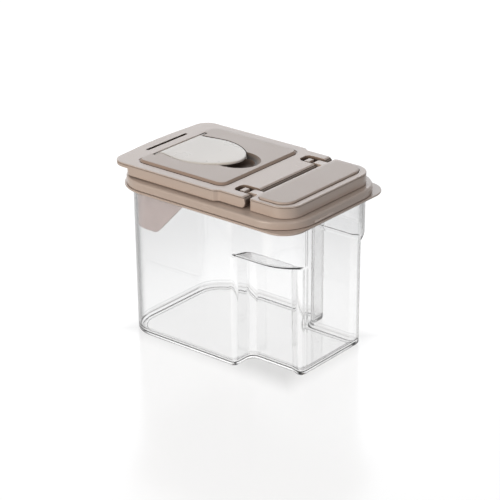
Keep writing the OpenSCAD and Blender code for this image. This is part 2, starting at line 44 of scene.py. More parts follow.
SIDES = (-1, 1)
# Finish of a face: its piece's own, or one of three painted shades: the dark one of narrow gaps and lines, the one
# that darkens with depth, or the darkest one, of the finger dish.
FINISHES = PLAIN, PAINTED_LINE_SHADE, PAINTED_DEPTH_SHADE, PAINTED_DISH_SHADE = 0, 1, 2, 3

# ---------- sizes in millimetres, as on the frame but for rounds, the lip's corners and bow, and the slot ----------
TUB_X, TUB_Y, TUB_R = 92.8, 64.2, 29.0
TUB_TOP, TUB_FLOOR, TUB_WALL, TUB_DRAFT, TUB_FOOT, TUB_INNER_FOOT = 143.4, 2.4, 1.8, 0.8, 2.6, 4.6
LOW_LEVELS, HIGH_LEVELS = (30, 60, 85), (112, 125)
FOOT_RING, FOOT_RISE = 7.4, 0.9
RIM_REACH, RIM_THICK = 3.4, 2.0
GRIP_X, GRIP_Y, GRIP_EDGE, GRIP_CORNER = 36.4, 41.0, 6.0, 5.5
CREASE_X, CREASE_R, FLARE_X, FLARE_Y, FLARE_R, END_Y, END_R = 79.4, 1.5, 91.25, 44.7, 5.6, 35.5, 12
LEDGE_Z, LEDGE_DROP, LEDGE_TIGHT_R, LEDGE_WIDE_R, LEDGE_LEAN, LEDGE_FADE = 104.0, 4.0, 1.6, 3.4, 0.2, 7
# where there is no ledge, its rings spread over these heights round it
SPREAD_LOW, SPREAD = -2.4, 4.0

BAND_X, BAND_Y, BAND_R, BAND_WALL = 98.3, 69.7, 34.5, 1.7
FLANGE_X, FLANGE_Y, FLANGE_R, FLANGE_END_R = 100.0, 71.4, 36.2, 21.0
BAND_LOW, FLANGE_TOP, PLATE_LOW, PLATE_TOP, PLATE_ROUND = 138.5, 140.1, 145.6, 147.5, 1.8
OPEN_X0, OPEN_X1, OPEN_Y, OPEN_R, OPEN_END_R = -84.15, 10.2, 58.55, 20.35, 5.0
COLLAR_WALL, COLLAR_TOP = 1.6, 153.9
RIB_X0, RIB_X1, RIB_HALF, RIB_TOP = -90.95, -89.35, 24, 153.1
PLUG_OUT, PLUG_IN = 2.15, 3.35
CLIP_X, CLIP_Y, CLIP_SLOT_HALF, CLIP_SLOT_IN, CLIP_SLOT_OUT = (57.8, 75.4), 45.2, 4.4, 1.3, 2.3
CHUTE_OUT, CHUTE_IN, CHUTE_LOW, CHUTE_OVER = 3.45, 4.95, 102.0, 150
CHUTE_X0, CHUTE_BEND_X, CHUTE_BEND_R, CHUTE_X1, CHUTE_END_Z, CHUTE_HALF = -100, -52.6, 9, -18.8, 137.5, 80

DECK_X0, DECK_X1, DECK_HALF, DECK_FRONT_R, DECK_R = 48.8, 91.4, 59.2, 3.0, 18.0
DECK_LOW, DECK_TOP, DECK_UNDER, DECK_WALL = 147.9, 158.4, 156.0, 1.8
PANEL_X0, PANEL_X1, PANEL_HALF, PANEL_TOP, PANEL_FRONT_R, PANEL_R = 53.6, 84.4, 54.0, 160.0, 4.0, 12.5
POST_X, POST_Y, POST_R = (57.8, 79.4), 30, 3
LEG_HALF, LEG_THICK, LEG_LOW, LEG_CATCH, LEG_HOOK_Z, LEG_HOOK_TOP = 4, 0.9, 142.6, 1.9, 144.5, 145.5
HINGE_X, HINGE_Z, TAIL_R, BAR_R = 41.0, 153.7, 5.0, 1.9
ARM_IN, ARM_OUT, HOOK_OUT, HOOK_R, SNAP_HALF = 39.8, 47.6, 4.6, 1.95, 1.6

FLAP_X0, FLAP_HALF, FLAP_R, EAR_HALF, EAR_R = -89.0, 63.4, 10.0, 60.2, 1.6
STEP_X, STEP_RUN, STEP_R = 15.4, 2, 4.0
FLAP_LOW, FLAP_UNDER, FLAP_TOP, FLAP_WALL, FLAP_ROUND = 148.6, 156.7, 158.7, 1.8, 0.8
LIP_X, LIP_BOW, LIP_R, LIP_LOW = -106.0, 3.0, 14.0, 155.0
LIP_FRONT = LIP_X + LIP_BOW
PLATEAU_X0, PLATEAU_X1, PLATEAU_HALF, PLATEAU_TOP = -83.4, 15.4, 52.6, 160.6
UNDER_X0, UNDER_X1, UNDER_HALF, UNDER_R = -79.1, 7.2, 48.3, 6
WIDE_HOLLOW_X1, NARROW_HOLLOW_X0, BELOW_FLAP = 13.0, 8, 147
SLOT_X, SLOT_HALF, SLOT_WIDTH = -93.7, 26.5, 2.8
SEAT_Z, SEAT_GAP, SEAT_FLOOR = 157.4, 0.6, 1.8
WINDOW_X0, WINDOW_PAST, WINDOW_IN, WINDOW_OUT, WINDOW_R, WINDOW_END_R = 25.0, 12, 37.0, 51.5, 5.0, 2
WEB_LOW, WEB_WALL = 149.2, 1.6
STOP_X0, STOP_X1, STOP_LOW, STOP_TOP, STOP_RIB_LOW, STOP_RIB_TOP = 29.35, 34.45, 149.9, 157.8, 150, 152.9

TAB_X, TAB_Z, TAB_EDGE, TAB_TIP, TAB_MIDDLE_X = -77.7, 159.5, 1.1, -8.0, -46.0
TAB_WIDE_X, TAB_HALF, TAB_HINGE_HALF, TAB_POWER = -50.0, 31.2, 27.4, 1.8
TAB_LOW, TAB_LEVEL_X, TAB_RISE = 158.4, -59.7, 1.2
PIN_R, PIN_END, WAY_HALF, WAY_END, WAY_DEPTH = 1.05, 33.4, 1.7, 35.0, 1.4
PIN_BOSS_Y, PIN_BOSS_X_HALF, PIN_BOSS_Y_HALF = 30.4, 3, 5
HOLE_X0, HOLE_X1, HOLE_HALF = -69.7, -25.7, 21.0
SPOUT_PLUG_OUT, SPOUT_PLUG_IN, SPOUT_PLUG_DEPTH = 0.5, 1.9, 3.4
DISH_X, DISH_LENGTH, DISH_HALF, DISH_FLOOR = -15.0, 24.0, 19.5, 153.6
WELL_X, WELL_LENGTH, WELL_HALF = -8.55, 11.55, 13.5


# ---------- plans and profiles ----------
def rounded(corners, steps=10):
    """Plan through corners (x, y, radius), with a true arc at each, inside corners as well; radius 0 is one point."""
    points, count = [], len(corners)
    for i, (x, y, r) in enumerate(corners):
        here = Vector((x, y))
        before = (Vector(corners[i - 1][:2]) - here).normalized()
        after = (Vector(corners[(i + 1) % count][:2]) - here).normalized()
        if r == 0:
            points.append(here)
            continue
        half = before.angle(after) / 2
        centre = here + (before + after).normalized() * (r / math.sin(half))
        start, end = here + before * (r / math.tan(half)), here + after * (r / math.tan(half))
        a0 = math.atan2(*reversed(start - centre))
        turn = (math.atan2(*reversed(end - centre)) - a0 + math.pi) % (2 * math.pi) - math.pi
        for k in range(steps + 1):
            a = a0 + turn * k / steps
            points.append(centre + Vector((math.cos(a), math.sin(a))) * r)
    return points


def box_plan(x0, x1, y0, y1, r0, r1=None, steps=10):
    """Rounded box in plan, radius r0 at x0 and r1 at x1, anticlockwise."""
    r1 = r0 if r1 is None else r1
    return rounded([(x1, y0, r1), (x1, y1, r1), (x0, y1, r0), (x0, y0, r0)], steps)


def disc(x, y, rx, ry=None, steps=48):
    """Round or oval plan."""
    ry = rx if ry is None else ry
    turns = [2 * math.pi * k / steps for k in range(steps)]
    return [Vector((x + rx * math.cos(a), y + ry * math.sin(a))) for a in turns]


def shrink(points, d):
    """The plan stepped in by d all round, or out where d is negative."""
    if d == 0:
        return list(points)
    made = []
    for before, p, after in zip(points[-1:] + points[:-1], points, points[1:] + points[:1]):
        u, v = (p - before).normalized(), (after - p).normalized()
        n = Vector((-u.y - v.y, u.x + v.x)).normalized()
        lean = max(0.5, n.dot(Vector((-u.y, u.x))))
        made.append(p + n * (d / lean))
    return made


def quarter(r, steps=5):
    """Points (across, up) of a quarter round that starts upright and ends level."""
    turns = [math.pi / 2 * k / steps for k in range(steps + 1)]
    return [(r * (1 - math.cos(t)), r * math.sin(t)) for t in turns]


def brow(top, r, steps=5, side=0.0):
    """Profile (inset, height) of a rounded top edge."""
    return [(side + a, top - r + u) for a, u in quarter(r, steps)]


def sole(low, r, steps=5):
    """Profile (inset, height) of a rounded bottom edge."""
    return [(a, low + r - u) for a, u in reversed(quarter(r, steps))]


def flared(low, top, rim, foot, over=0.6):
    """Profile of a cutter: rounded at its foot, and flared at the surface it cuts, so that the rim comes out round."""
    rise = [(-rim * (1 - math.cos(t)), top - rim + rim * math.sin(t)) for t in (0.0, 0.35, 0.7, 1.0, 1.25)]
    return sole(low, foot, 3) + rise + [(-rim * 0.95, top + over)]


def on_side(side, a, b):
    """Lowest and highest Y of what lies between a and b on one side."""
    return sorted((side * a, side * b))


def level(plan, z):
    """Ring of a plan at one height."""
    return [(p.x, p.y, z) for p in plan]


def stepped(plan, profile):
    """Rings of a plan, stepped in and up as the profile (inset, height) says."""
    return [level(shrink(plan, d), z) for d, z in profile]


# ---------- solids ----------
def make_mesh(name, verts, faces):
    mesh = bpy.data.meshes.new(name)
    mesh.from_pydata([tuple(v) for v in verts], [], faces)
    bm = bmesh.new()
    bm.from_mesh(mesh)
    bmesh.ops.recalc_face_normals(bm, faces=bm.faces)
    bm.to_mesh(mesh)
    bm.free()
    for _ in FINISHES:
        mesh.materials.append(None)
    made = bpy.data.objects.new(name, mesh)
    bpy.context.scene.collection.objects.link(made)
    return made


def finished(piece, which, test=None):
    """Gives the faces that pass a test, or all, another finish, one of the painted shades; a cutter passes its own on
    to what it cuts.
    """
    for face in piece.data.polygons:
        if test is None or test(face.center, face.normal):
            face.material_index = which
    return piece


def open_wall(_, normal):
    """Upright faces, but for the one beside the tab's hinge edge."""
    return abs(normal.z) < 0.75 and normal.x > -0.9


def loft(name, rings, closed=False):
    """Solid through rings with equally many points; closed joins the last ring to the first instead of capping."""
    n, count = len(rings[0]), len(rings)
    faces = []
    for k in range(count if closed else count - 1):
        a, b = k * n, (k + 1) % count * n
        faces += [(a + i, a + (i + 1) % n, b + (i + 1) % n, b + i) for i in range(n)]
    if not closed:
        faces += [tuple(range(n)), tuple(range((count - 1) * n, count * n))]
    return make_mesh(name, [p for ring in rings for p in ring], faces)


def solid(name, plan, profile):
    """Solid with that plan, stepped in and up as the profile says."""
    return loft(name, stepped(plan, profile))


def block(name, x0, x1, y0, y1, z0, z1, r=0.8, edge=0.3):
    """Small block with round uprights and soft edges; r is larger than edge."""
    return solid(name, box_plan(x0, x1, y0, y1, r, steps=4), sole(z0, edge, 2) + brow(z1, edge, 2))


def ring_solid(name, plan, outer, inner, low, top, edge):
    """Ring between two insets of a plan, with soft edges."""
    profile = sole(low, edge, 3) + brow(top, edge, 3)
    outside = stepped(plan, [(outer + d, z) for d, z in profile])
    inside = stepped(plan, [(inner - d, z) for d, z in profile])
    return loft(name, outside + inside[::-1], closed=True)


def bar(name, x, z, r, y0, y1, edge, steps=32):
    """Round bar along Y with soft ends."""
    profile = [(r - edge, y0), (r, y0 + edge), (r, y1 - edge), (r - edge, y1)]
    turns = [2 * math.pi * k / steps for k in range(steps)]
    return loft(name, [[(x + q * math.cos(a), y, z + q * math.sin(a)) for a in turns] for q, y in profile])


def side_prism(name, corners, y0, y1):
    """Prism with a side view through corners (x, z, radius), from y0 to y1."""
    view = rounded(corners)
    return loft(name, [[(p.x, y, p.y) for p in view] for y in (y0, y1)])


def carve(piece, how, *tools):
    """Cuts the tools from a piece, joins them to it or keeps what they share, in turn, and deletes them."""
    for tool in tools:
        step = piece.modifiers.new("carve", "BOOLEAN")
        step.operation, step.solver, step.object = how, "EXACT", tool
    bpy.context.view_layer.update()
    made = bpy.data.meshes.new_from_object(piece.evaluated_get(bpy.context.evaluated_depsgraph_get()))
    piece.modifiers.clear()
    piece.data = made
    for tool in tools:
        bpy.data.objects.remove(tool)
    return piece


def settle(piece, body, node, slot, *finishes, crease=32):
    """Scales a finished shell to metres, sharpens its true edges, and lets it stand for its CAD node."""
    bm = bmesh.new()
    bm.from_mesh(piece.data)
    bmesh.ops.remove_doubles(bm, verts=bm.verts, dist=0.004)
    bmesh.ops.dissolve_degenerate(bm, edges=bm.edges, dist=0.002)
    bm.to_mesh(piece.data)
    bm.free()
    piece.data.transform(Matrix.Scale(MM, 4))
    for face in piece.data.polygons:
        face.use_smooth = True
    piece.data.set_sharp_from_angle(angle=math.radians(crease))
    even = piece.modifiers.new("even_shading", "WEIGHTED_NORMAL")
    even.keep_sharp = True
    while len(piece.data.materials) > len(finishes):
        piece.data.materials.pop()
    for index, finish in enumerate(finishes):
        piece.data.materials[index] = finish
    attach(piece, body)
    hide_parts(node)


# ---------- tub ----------
def crossing(a, u, b, v):
    """Where the line from a along u meets the line from b along v."""
    return a + u * (((b - a).x * v.y - (b - a).y * v.x) / (u.x * v.y - u.y * v.x))


def tub_plan(inset=0.0):
    """Plan of the tub below the ledges, stepped in, with a grip recess in each long side near the hinge end.

    Every step has the same number of points, also where it is deeper than a corner is round.
    """
    near = [
        (-TUB_X, -TUB_Y, TUB_R),
        (GRIP_X, -TUB_Y, GRIP_EDGE),
        (GRIP_X, -GRIP_Y, GRIP_CORNER),
        (CREASE_X, -GRIP_Y, CREASE_R),
        (FLARE_X, -FLARE_Y, FLARE_R),
        (TUB_X, -END_Y, END_R),
    ]
    corners = near + [(x, -y, r) for x, y, r in reversed(near)]
    arcs, arcs_at_edge = [], []
    for i, (x, y, r) in enumerate(corners):
        here = Vector((x, y))
        u = (here - Vector(corners[i - 1][:2])).normalized()
        v = (Vector(corners[(i + 1) % len(corners)][:2]) - here).normalized()
        turn = -u.angle_signed(v)
        steps = max(10, math.ceil(r * abs(turn) / 1.8))
        moved = crossing(here + Vector((-u.y, u.x)) * inset, u, here + Vector((-v.y, v.x)) * inset, v)
        moved_r = max(0.5, r - inset) if turn > 0 else r + inset
        for spot, radius, made in ((here, r, arcs_at_edge), (moved, moved_r, arcs)):
            centre = spot - u * (radius * math.tan(abs(turn) / 2)) + Vector((-u.y, u.x)) * math.copysign(radius, turn)
            start = Vector((u.y, -u.x)) * math.copysign(radius, turn)
            made.append([centre + Matrix.Rotation(turn * k / steps, 2) @ start for k in range(steps + 1)])
    plan = []
    for k, arc in enumerate(arcs):
        after = (k + 1) % len(arcs)
        parts = max(1, math.ceil((arcs_at_edge[after][0] - arcs_at_edge[k][-1]).length / 2.5))
        plan += arc + [arc[-1].lerp(arcs[after][0], n / parts) for n in range(1, parts)]
    return plan


def full_edge_y(x, inset):
    """Half width of the full tub at x, stepped in by inset."""
    arc_x = x - (TUB_X - TUB_R)
    if arc_x <= 0:
        return TUB_Y - inset
    r = TUB_R - inset
    return TUB_Y - TUB_R + math.sqrt(max(r * r - arc_x * arc_x, 0))


def raised(p, inset):
    """Where a point of the lower plan lies on the full plan over the ledges."""
    if p.x < GRIP_X - GRIP_EDGE - 0.5:
        return p.copy()
    side = 1 if p.y > 0 else -1
    depth = min(1, max(0, (TUB_Y - inset - abs(p.y)) / (TUB_Y - GRIP_Y)))
    past = min(1, max(0, (p.x - GRIP_X - inset) / GRIP_CORNER))
    x = p.x + 2.0 * depth * (1 - past)
    y = full_edge_y(x, inset)
    return Vector((x, side * y)) if y > abs(p.y) else p.copy()


def tub_rings(inset, grow, upwards):
    """Rings of one skin of the tub round the ledges, over the low levels and under the high ones; grow lifts them."""
    low = tub_plan(inset)
    high = [raised(p, inset) for p in low]
    fillet, edge = (LEDGE_TIGHT_R, LEDGE_WIDE_R) if grow == 0 else (LEDGE_WIDE_R, LEDGE_TIGHT_R)
    turns = (0, 0.4, 0.8, 1.2, math.pi / 2)
    path = [("wall", fillet * (1 - math.cos(t)), fillet * (math.sin(t) - 1)) for t in turns]
    path += [("edge", edge * (1 - math.sin(t)), edge * (1 - math.cos(t))) for t in turns]
    rings = []
    for k, (which, a, u) in enumerate(path):
        ring = []
        for p, q in zip(low, high):
            reach = (q - p).length
            way = (q - p) / reach if reach > 1e-6 else Vector((0, 0))
            share = min(1, reach / LEDGE_FADE)
            at = p + way * (a * share) if which == "wall" else q - way * (a * share)
            ledge = LEDGE_Z + grow - (TUB_Y - abs(at.y)) * LEDGE_DROP / (TUB_Y - GRIP_Y)
            even = SPREAD_LOW + SPREAD * k / (len(path) - 1)
            ring.append((at.x, at.y, ledge + share * u + (1 - share) * even))
        rings.append(ring)
    return rings if upwards else rings[::-1]


def make_tub():
    """One skin, from the foot ring up the outside, over the rim, and down the inside to the floor."""
    full = [raised(p, 0) for p in tub_plan()]
    full_in = [raised(p, TUB_WALL) for p in tub_plan(TUB_WALL)]

    def lean(z):
        return TUB_DRAFT * (1 - z / TUB_TOP)

    def low(profile):
        return [level(tub_plan(d + lean(z)), z) for d, z in profile]

    foot_ring = [
        (FOOT_RING + 1.2, FOOT_RISE), (FOOT_RING + 0.7, FOOT_RISE), (FOOT_RING + 0.3, FOOT_RISE - 0.2),
        (FOOT_RING, 0.1), (FOOT_RING - 0.2, 0.0),
    ]
    rim_low, tip = TUB_TOP - RIM_THICK, -RIM_REACH
    rim = [
        (0.0, rim_low - 0.8), (-0.1, rim_low - 0.35), (-0.4, rim_low - 0.08), (-0.9, rim_low),
        (tip + 0.5, rim_low), (tip + 0.12, rim_low + 0.15), (tip, rim_low + 0.5),
        (tip, TUB_TOP - 0.6), (tip + 0.15, TUB_TOP - 0.2), (tip + 0.6, TUB_TOP),
    ]
    mouth = [(-0.6, TUB_TOP), (-0.15, TUB_TOP - 0.15), (0.0, TUB_TOP - 0.6)]
    inner_foot = [(TUB_WALL + d, z) for d, z in reversed(sole(TUB_FLOOR, TUB_INNER_FOOT, 9))]
    rings = low(foot_ring + sole(0, TUB_FOOT, 9) + [(0, z) for z in LOW_LEVELS])
    rings += tub_rings(LEDGE_LEAN, 0, True)
    rings += stepped(full, [(lean(z), z) for z in HIGH_LEVELS] + rim)
    rings += stepped(full_in, mouth + [(lean(z), z) for z in HIGH_LEVELS[::-1]])
    rings += tub_rings(TUB_WALL + LEDGE_LEAN, TUB_WALL, False)
    rings += low([(TUB_WALL, z) for z in LOW_LEVELS[::-1]] + inner_foot)
    return loft("clear_tub", rings)


# ---------- lid ----------
band_plan = box_plan(-BAND_X, BAND_X, -BAND_Y, BAND_Y, BAND_R, steps=20)
flange_plan = box_plan(-FLANGE_X, FLANGE_X, -FLANGE_Y, FLANGE_Y, FLANGE_R, FLANGE_END_R, steps=20)
mouth_plan = box_plan(-TUB_X, TUB_X, -TUB_Y, TUB_Y, TUB_R, steps=20)
open_plan = box_plan(OPEN_X0, OPEN_X1, -OPEN_Y, OPEN_Y, OPEN_R, OPEN_END_R, steps=12)
collar_plan, collar_middle = shrink(open_plan, -COLLAR_WALL), shrink(open_plan, -COLLAR_WALL / 2)
CLIP_SPOTS = [(x, side) for x in CLIP_X for side in SIDES]


def make_lid_base():
    flange = sole(BAND_LOW, 0.5, 3) + brow(FLANGE_TOP, 0.5, 3)
    gap = [(0.4, FLANGE_TOP), (0.4, FLANGE_TOP + 0.5), (0.05, FLANGE_TOP + 0.55), (0, FLANGE_TOP + 0.7)]
    band = gap + brow(PLATE_TOP, PLATE_ROUND, 8)
    base = loft("lid_base_shell", stepped(flange_plan, flange) + stepped(band_plan, band))
    # painted shade: the upright faces of the undercut over the flange take the dark line finish
    finished(base, PAINTED_LINE_SHADE, lambda at, normal: FLANGE_TOP < at.z < FLANGE_TOP + 0.5 and abs(normal.z) < 0.5)
    hollow = solid("hollow", shrink(band_plan, BAND_WALL), [(0, BAND_LOW - 1)] + brow(PLATE_LOW, 0.8))
    base = carve(base, "DIFFERENCE", hollow)
    collar = solid("collar", collar_plan, [(0, PLATE_LOW + 0.5)] + brow(COLLAR_TOP, 0.5))
    rib = block("catch_rib", RIB_X0, RIB_X1, -RIB_HALF, RIB_HALF, PLATE_LOW + 0.5, RIB_TOP, 0.5, 0.3)
    base = carve(base, "UNION", collar, rib)
    way_in = solid("way_in", open_plan, flared(BAND_LOW - 2, COLLAR_TOP, 0.5, 0.3, 2))
    slots = []
    for x, side in CLIP_SPOTS:
        y0, y1 = on_side(side, CLIP_Y - CLIP_SLOT_IN, CLIP_Y + CLIP_SLOT_OUT)
        slots.append(block("slot", x - CLIP_SLOT_HALF, x + CLIP_SLOT_HALF, y0, y1,
                           PLATE_LOW - 1, PLATE_TOP + 1, 0.5, 0.2))
    base = carve(base, "DIFFERENCE", way_in, *slots)
    plug = ring_solid("plug", mouth_plan, PLUG_OUT, PLUG_IN, BAND_LOW, PLATE_LOW + 0.3, 0.35)
    return carve(base, "UNION", plug)


def make_chute():
    wall = ring_solid("chute_shell", mouth_plan, CHUTE_OUT, CHUTE_IN, CHUTE_LOW, PLATE_LOW, 0.35)
    view = [
        (CHUTE_X0, CHUTE_OVER, 0), (CHUTE_X0, CHUTE_LOW, 0), (CHUTE_BEND_X, CHUTE_LOW, CHUTE_BEND_R),
        (CHUTE_X1, CHUTE_END_Z, 0), (CHUTE_X1, CHUTE_OVER, 0),
    ]
    return carve(wall, "INTERSECT", side_prism("chute_side", view, -CHUTE_HALF, CHUTE_HALF))


# ---------- rear deck ----------
deck_plan = box_plan(DECK_X0, DECK_X1, -DECK_HALF, DECK_HALF, DECK_FRONT_R, DECK_R, steps=16)
panel_plan = box_plan(PANEL_X0, PANEL_X1, -PANEL_HALF, PANEL_HALF, PANEL_FRONT_R, PANEL_R, steps=14)


def make_rear_deck():
    edge_line = [(0, DECK_TOP - 1.5), (0.4, DECK_TOP - 1.35), (0.4, DECK_TOP - 1.05)]
    deck = solid("rear_deck_shell", deck_plan, sole(DECK_LOW, 0.5, 3) + edge_line + brow(DECK_TOP, 0.9, 6))
    # painted shade in the groove under the deck's top edge
    finished(deck, PAINTED_LINE_SHADE, lambda at, normal: DECK_TOP - 1.4 < at.z < DECK_TOP - 1.0)
    inside_half = DECK_HALF - DECK_WALL
    inside = box_plan(DECK_X0 + DECK_WALL, DECK_X1 - DECK_WALL, -inside_half, inside_half, 1.5, 16)
    hollow = solid("hollow", inside, [(0, DECK_LOW - 1)] + brow(DECK_UNDER, 0.8))
    groove = solid("groove", shrink(panel_plan, -0.8), flared(DECK_TOP - 0.8, DECK_TOP, 0.2, 0.2))
    deck = carve(deck, "DIFFERENCE", hollow, groove)

    panel_side = [(0, DECK_TOP - 1.5), (0, DECK_TOP - 0.05)]
    raised_panel = solid("panel", panel_plan, panel_side + brow(PANEL_TOP, 1.0, 6, 0.05))
    # painted shade along the foot of the raised panel
    finished(raised_panel, PAINTED_LINE_SHADE, lambda at, normal: at.z < DECK_TOP - 0.05)
    arm_x, arm_low, arm_top = DECK_X0 + 1, HINGE_Z - HOOK_OUT, HINGE_Z + HOOK_OUT
    arm_view = [(HINGE_X, arm_low, 0), (HINGE_X, arm_top, 0), (arm_x, arm_top, 0), (arm_x, arm_low, 0)]
    arms = []
    for side in SIDES:
        y0, y1 = on_side(side, ARM_IN, ARM_OUT)
        arms.append(side_prism("arm", arm_view, y0, y1))
        arms.append(bar("hook", HINGE_X, HINGE_Z, HOOK_OUT, y0, y1, 0.3, 48))
    root = DECK_UNDER + 0.5
    posts = [solid("post", disc(x, side * POST_Y, POST_R), [(0, PLATE_TOP), (0, root)])
             for x in POST_X for side in SIDES]
    leg_view = [
        (-LEG_THICK, root), (-LEG_THICK, LEG_LOW), (0, LEG_LOW), (LEG_CATCH, LEG_HOOK_Z), (LEG_CATCH, LEG_HOOK_TOP),
        (LEG_THICK, LEG_HOOK_TOP), (LEG_THICK, root),
    ]
    legs = [loft("leg", [[(x + dx, side * (CLIP_Y + a), z) for a, z in leg_view] for dx in (-LEG_HALF, LEG_HALF)])
            for x, side in CLIP_SPOTS]
    deck = carve(deck, "UNION", raised_panel, *arms, *posts, *legs)

    bores = []
    for side in SIDES:
        y0, y1 = on_side(side, ARM_IN - 2, ARM_OUT + 2)
        bores.append(bar("bore", HINGE_X, HINGE_Z, HOOK_R, y0, y1, 0.05, 40))
        bores.append(block("snap", HINGE_X - SNAP_HALF, HINGE_X + SNAP_HALF, y0, y1, HINGE_Z - 8, HINGE_Z, 0.1, 0.05))
    return carve(deck, "DIFFERENCE", *bores)


# ---------- main flap ----------
def flap_plan(front, front_r, bow, end):
    """Plan of the flap: bowed front, wide part, step in, and the narrower part beside the hinge."""
    side = FLAP_HALF - front_r
    near = [(STEP_X - STEP_RUN, -FLAP_HALF, STEP_R), (STEP_X + STEP_RUN, -EAR_HALF, STEP_R), (end, -EAR_HALF, EAR_R)]
    far = [(x, -y, r) for x, y, r in reversed(near)]
    bows = [(front + bow * (t * t - 1), side * t, 0) for t in (0.8, 0.6, 0.4, 0.2, 0.0, -0.2, -0.4, -0.6, -0.8)]
    return rounded(near + far + [(front, FLAP_HALF, front_r)] + bows + [(front, -FLAP_HALF, front_r)], 9)


def tail_end(z):
    """Where the round tail of the flap ends at height z."""
    return HINGE_X + math.sqrt(max(TAIL_R**2 - (z - HINGE_Z) ** 2, 0))


def tab_plan(grow=0.0):
    """Plan of the spout tab: straight hinge edge, slightly wider middle and an oval tip."""
    start, reach = TAB_X - TAB_EDGE - grow, TAB_TIP - TAB_WIDE_X + grow
    side = []
    for k in range(9):
        t = k / 8
        ease = (1 - math.cos(math.pi * t)) / 2
        half = TAB_HINGE_HALF + grow + (TAB_HALF - TAB_HINGE_HALF) * ease
        side.append(Vector((start + (TAB_WIDE_X - start) * t, half)))
    for k in range(1, 31):
        a = math.radians(3 * k)
        x = TAB_WIDE_X + reach * math.sin(a) ** (2 / TAB_POWER)
        side.append(Vector((x, (TAB_HALF + grow) * max(math.cos(a), 0) ** (2 / TAB_POWER))))
    side[-1].y = 0
    near = [Vector((p.x, -p.y)) for p in side[:-1]]
    return near + side[::-1]


hole_plan = box_plan(HOLE_X0, HOLE_X1, -HOLE_HALF, HOLE_HALF, HOLE_HALF * 0.5, HOLE_HALF * 0.85, 12)


def window_plan(side, grow=0.0):
    """Plan of the window that an arm of the rear deck stands in; it runs out past the flap's tail."""
    y0, y1 = on_side(side, WINDOW_IN - grow, WINDOW_OUT + grow)
    return box_plan(WINDOW_X0 - grow, HINGE_X + WINDOW_PAST, y0, y1, WINDOW_R + grow, WINDOW_END_R, 10)


def flap_skin():
    """The flap's outer form, with a fine groove under its top edge and its tail, both painted with shade."""
    edge_low = FLAP_TOP - FLAP_ROUND
    tail = [(0.5, 0.1), (0.15, 0.25), (0.0, 0.6), (0.0, 1.6), (0.0, 2.8), (0.0, 4.0)]
    lip = [(0.5, LIP_LOW), (0.15, LIP_LOW + 0.12), (0.0, LIP_LOW + 0.5), (0.0, LIP_LOW + 1.2), (0.0, edge_low - 0.65)]
    top = [(0.4, edge_low - 0.5), (0.4, edge_low - 0.05)] + brow(FLAP_TOP, FLAP_ROUND, 6)
    rings = []
    for d, z in [(d, FLAP_LOW + up) for d, up in tail] + [(0.0, HINGE_Z), (0.0, LIP_LOW - 0.6)]:
        rings.append(level(shrink(flap_plan(FLAP_X0, FLAP_R, 0, tail_end(z) + d), d), z))
    rings.append(level(flap_plan(FLAP_X0, FLAP_R, 0, tail_end(LIP_LOW)), LIP_LOW - 0.03))
    for d, z in lip:
        rings.append(level(flap_plan(LIP_FRONT + d, LIP_R, LIP_BOW, tail_end(z)), z))
    for d, z in top:
        rings.append(level(shrink(flap_plan(LIP_FRONT, LIP_R, LIP_BOW, tail_end(z) + d), d), z))
    flap = loft("main_flap_shell", rings)
    # painted shade in the groove under the top edge, and on the tail's faces towards the rear deck, darkest where they
    # face it most
    finished(flap, PAINTED_LINE_SHADE, lambda at, normal: edge_low - 0.55 < at.z < edge_low)
    for finish, lean in ((PAINTED_DEPTH_SHADE, 0.55), (PAINTED_LINE_SHADE, 0.85)):
        finished(flap, finish, lambda at, normal: at.x > HINGE_X + 2 and normal.x > lean and at.z < edge_low - 0.6)
    return flap


def flap_hollows():
    """What the moulding leaves empty: under the wide part, the ears, the tail, the lip and the plateau."""
    wide, narrow = FLAP_HALF - FLAP_WALL, EAR_HALF - FLAP_WALL

    def hollow(x0, x1, half, r0, r1, low, top, round_r):
        return solid("hollow", box_plan(x0, x1, -half, half, r0, r1), [(0, low)] + brow(top, round_r))

    return [
        hollow(FLAP_X0 + FLAP_WALL, WIDE_HOLLOW_X1, wide, 8.2, 3, BELOW_FLAP, FLAP_UNDER, 0.8),
        hollow(NARROW_HOLLOW_X0, HINGE_X, narrow, 1, 1, BELOW_FLAP, FLAP_UNDER, 0.5),
        bar("tail_hollow", HINGE_X, HINGE_Z, TAIL_R - 2, -narrow, narrow, 0.3),
        hollow(LIP_FRONT + FLAP_WALL, FLAP_X0, wide, 9.2, 1, LIP_LOW - 1, FLAP_UNDER, 0.5),
        hollow(UNDER_X0, UNDER_X1, UNDER_HALF, UNDER_R, UNDER_R, FLAP_UNDER - 1, FLAP_TOP, 0.4),
    ]


def flap_bosses():
    """What hangs in the hollow: the floors of the seat, the dish and its well, the trunnions' beds, and the webs.

    Their faces lie a little apart, so that no two of them share a plane.
    """
    low = SEAT_Z - SEAT_FLOOR
    well = disc(WELL_X, 0, WELL_LENGTH + FLAP_WALL, WELL_HALF + FLAP_WALL, 72)
    bosses = [
        solid("seat_boss", tab_plan(SEAT_GAP + FLAP_WALL), sole(low, 0.4) + [(0, PLATEAU_TOP - 1)]),
        solid("dish_boss", disc(DISH_X, 0, DISH_LENGTH + 0.6, DISH_HALF + 0.6, 96),
              sole(low + 0.03, 0.4) + [(0, PLATEAU_TOP - 1.03)]),
        solid("well_boss", well, sole(DISH_FLOOR - FLAP_WALL, 0.6) + [(0, PLATEAU_TOP - 1.06)]),
    ]
    for side in SIDES:
        y = side * PIN_BOSS_Y
        bosses.append(block("trunnion_boss", TAB_X - PIN_BOSS_X_HALF, TAB_X + PIN_BOSS_X_HALF, y - PIN_BOSS_Y_HALF,
                            y + PIN_BOSS_Y_HALF, low + 0.05, PLATEAU_TOP - 1.1))
        web = solid("web", window_plan(side, WEB_WALL), [(0, WEB_LOW), (0, FLAP_UNDER + 0.5)])
        bosses.append(carve(web, "INTERSECT", block("web_end", 0, HINGE_X + 1, -70, 70, 140, 170)))
    return bosses


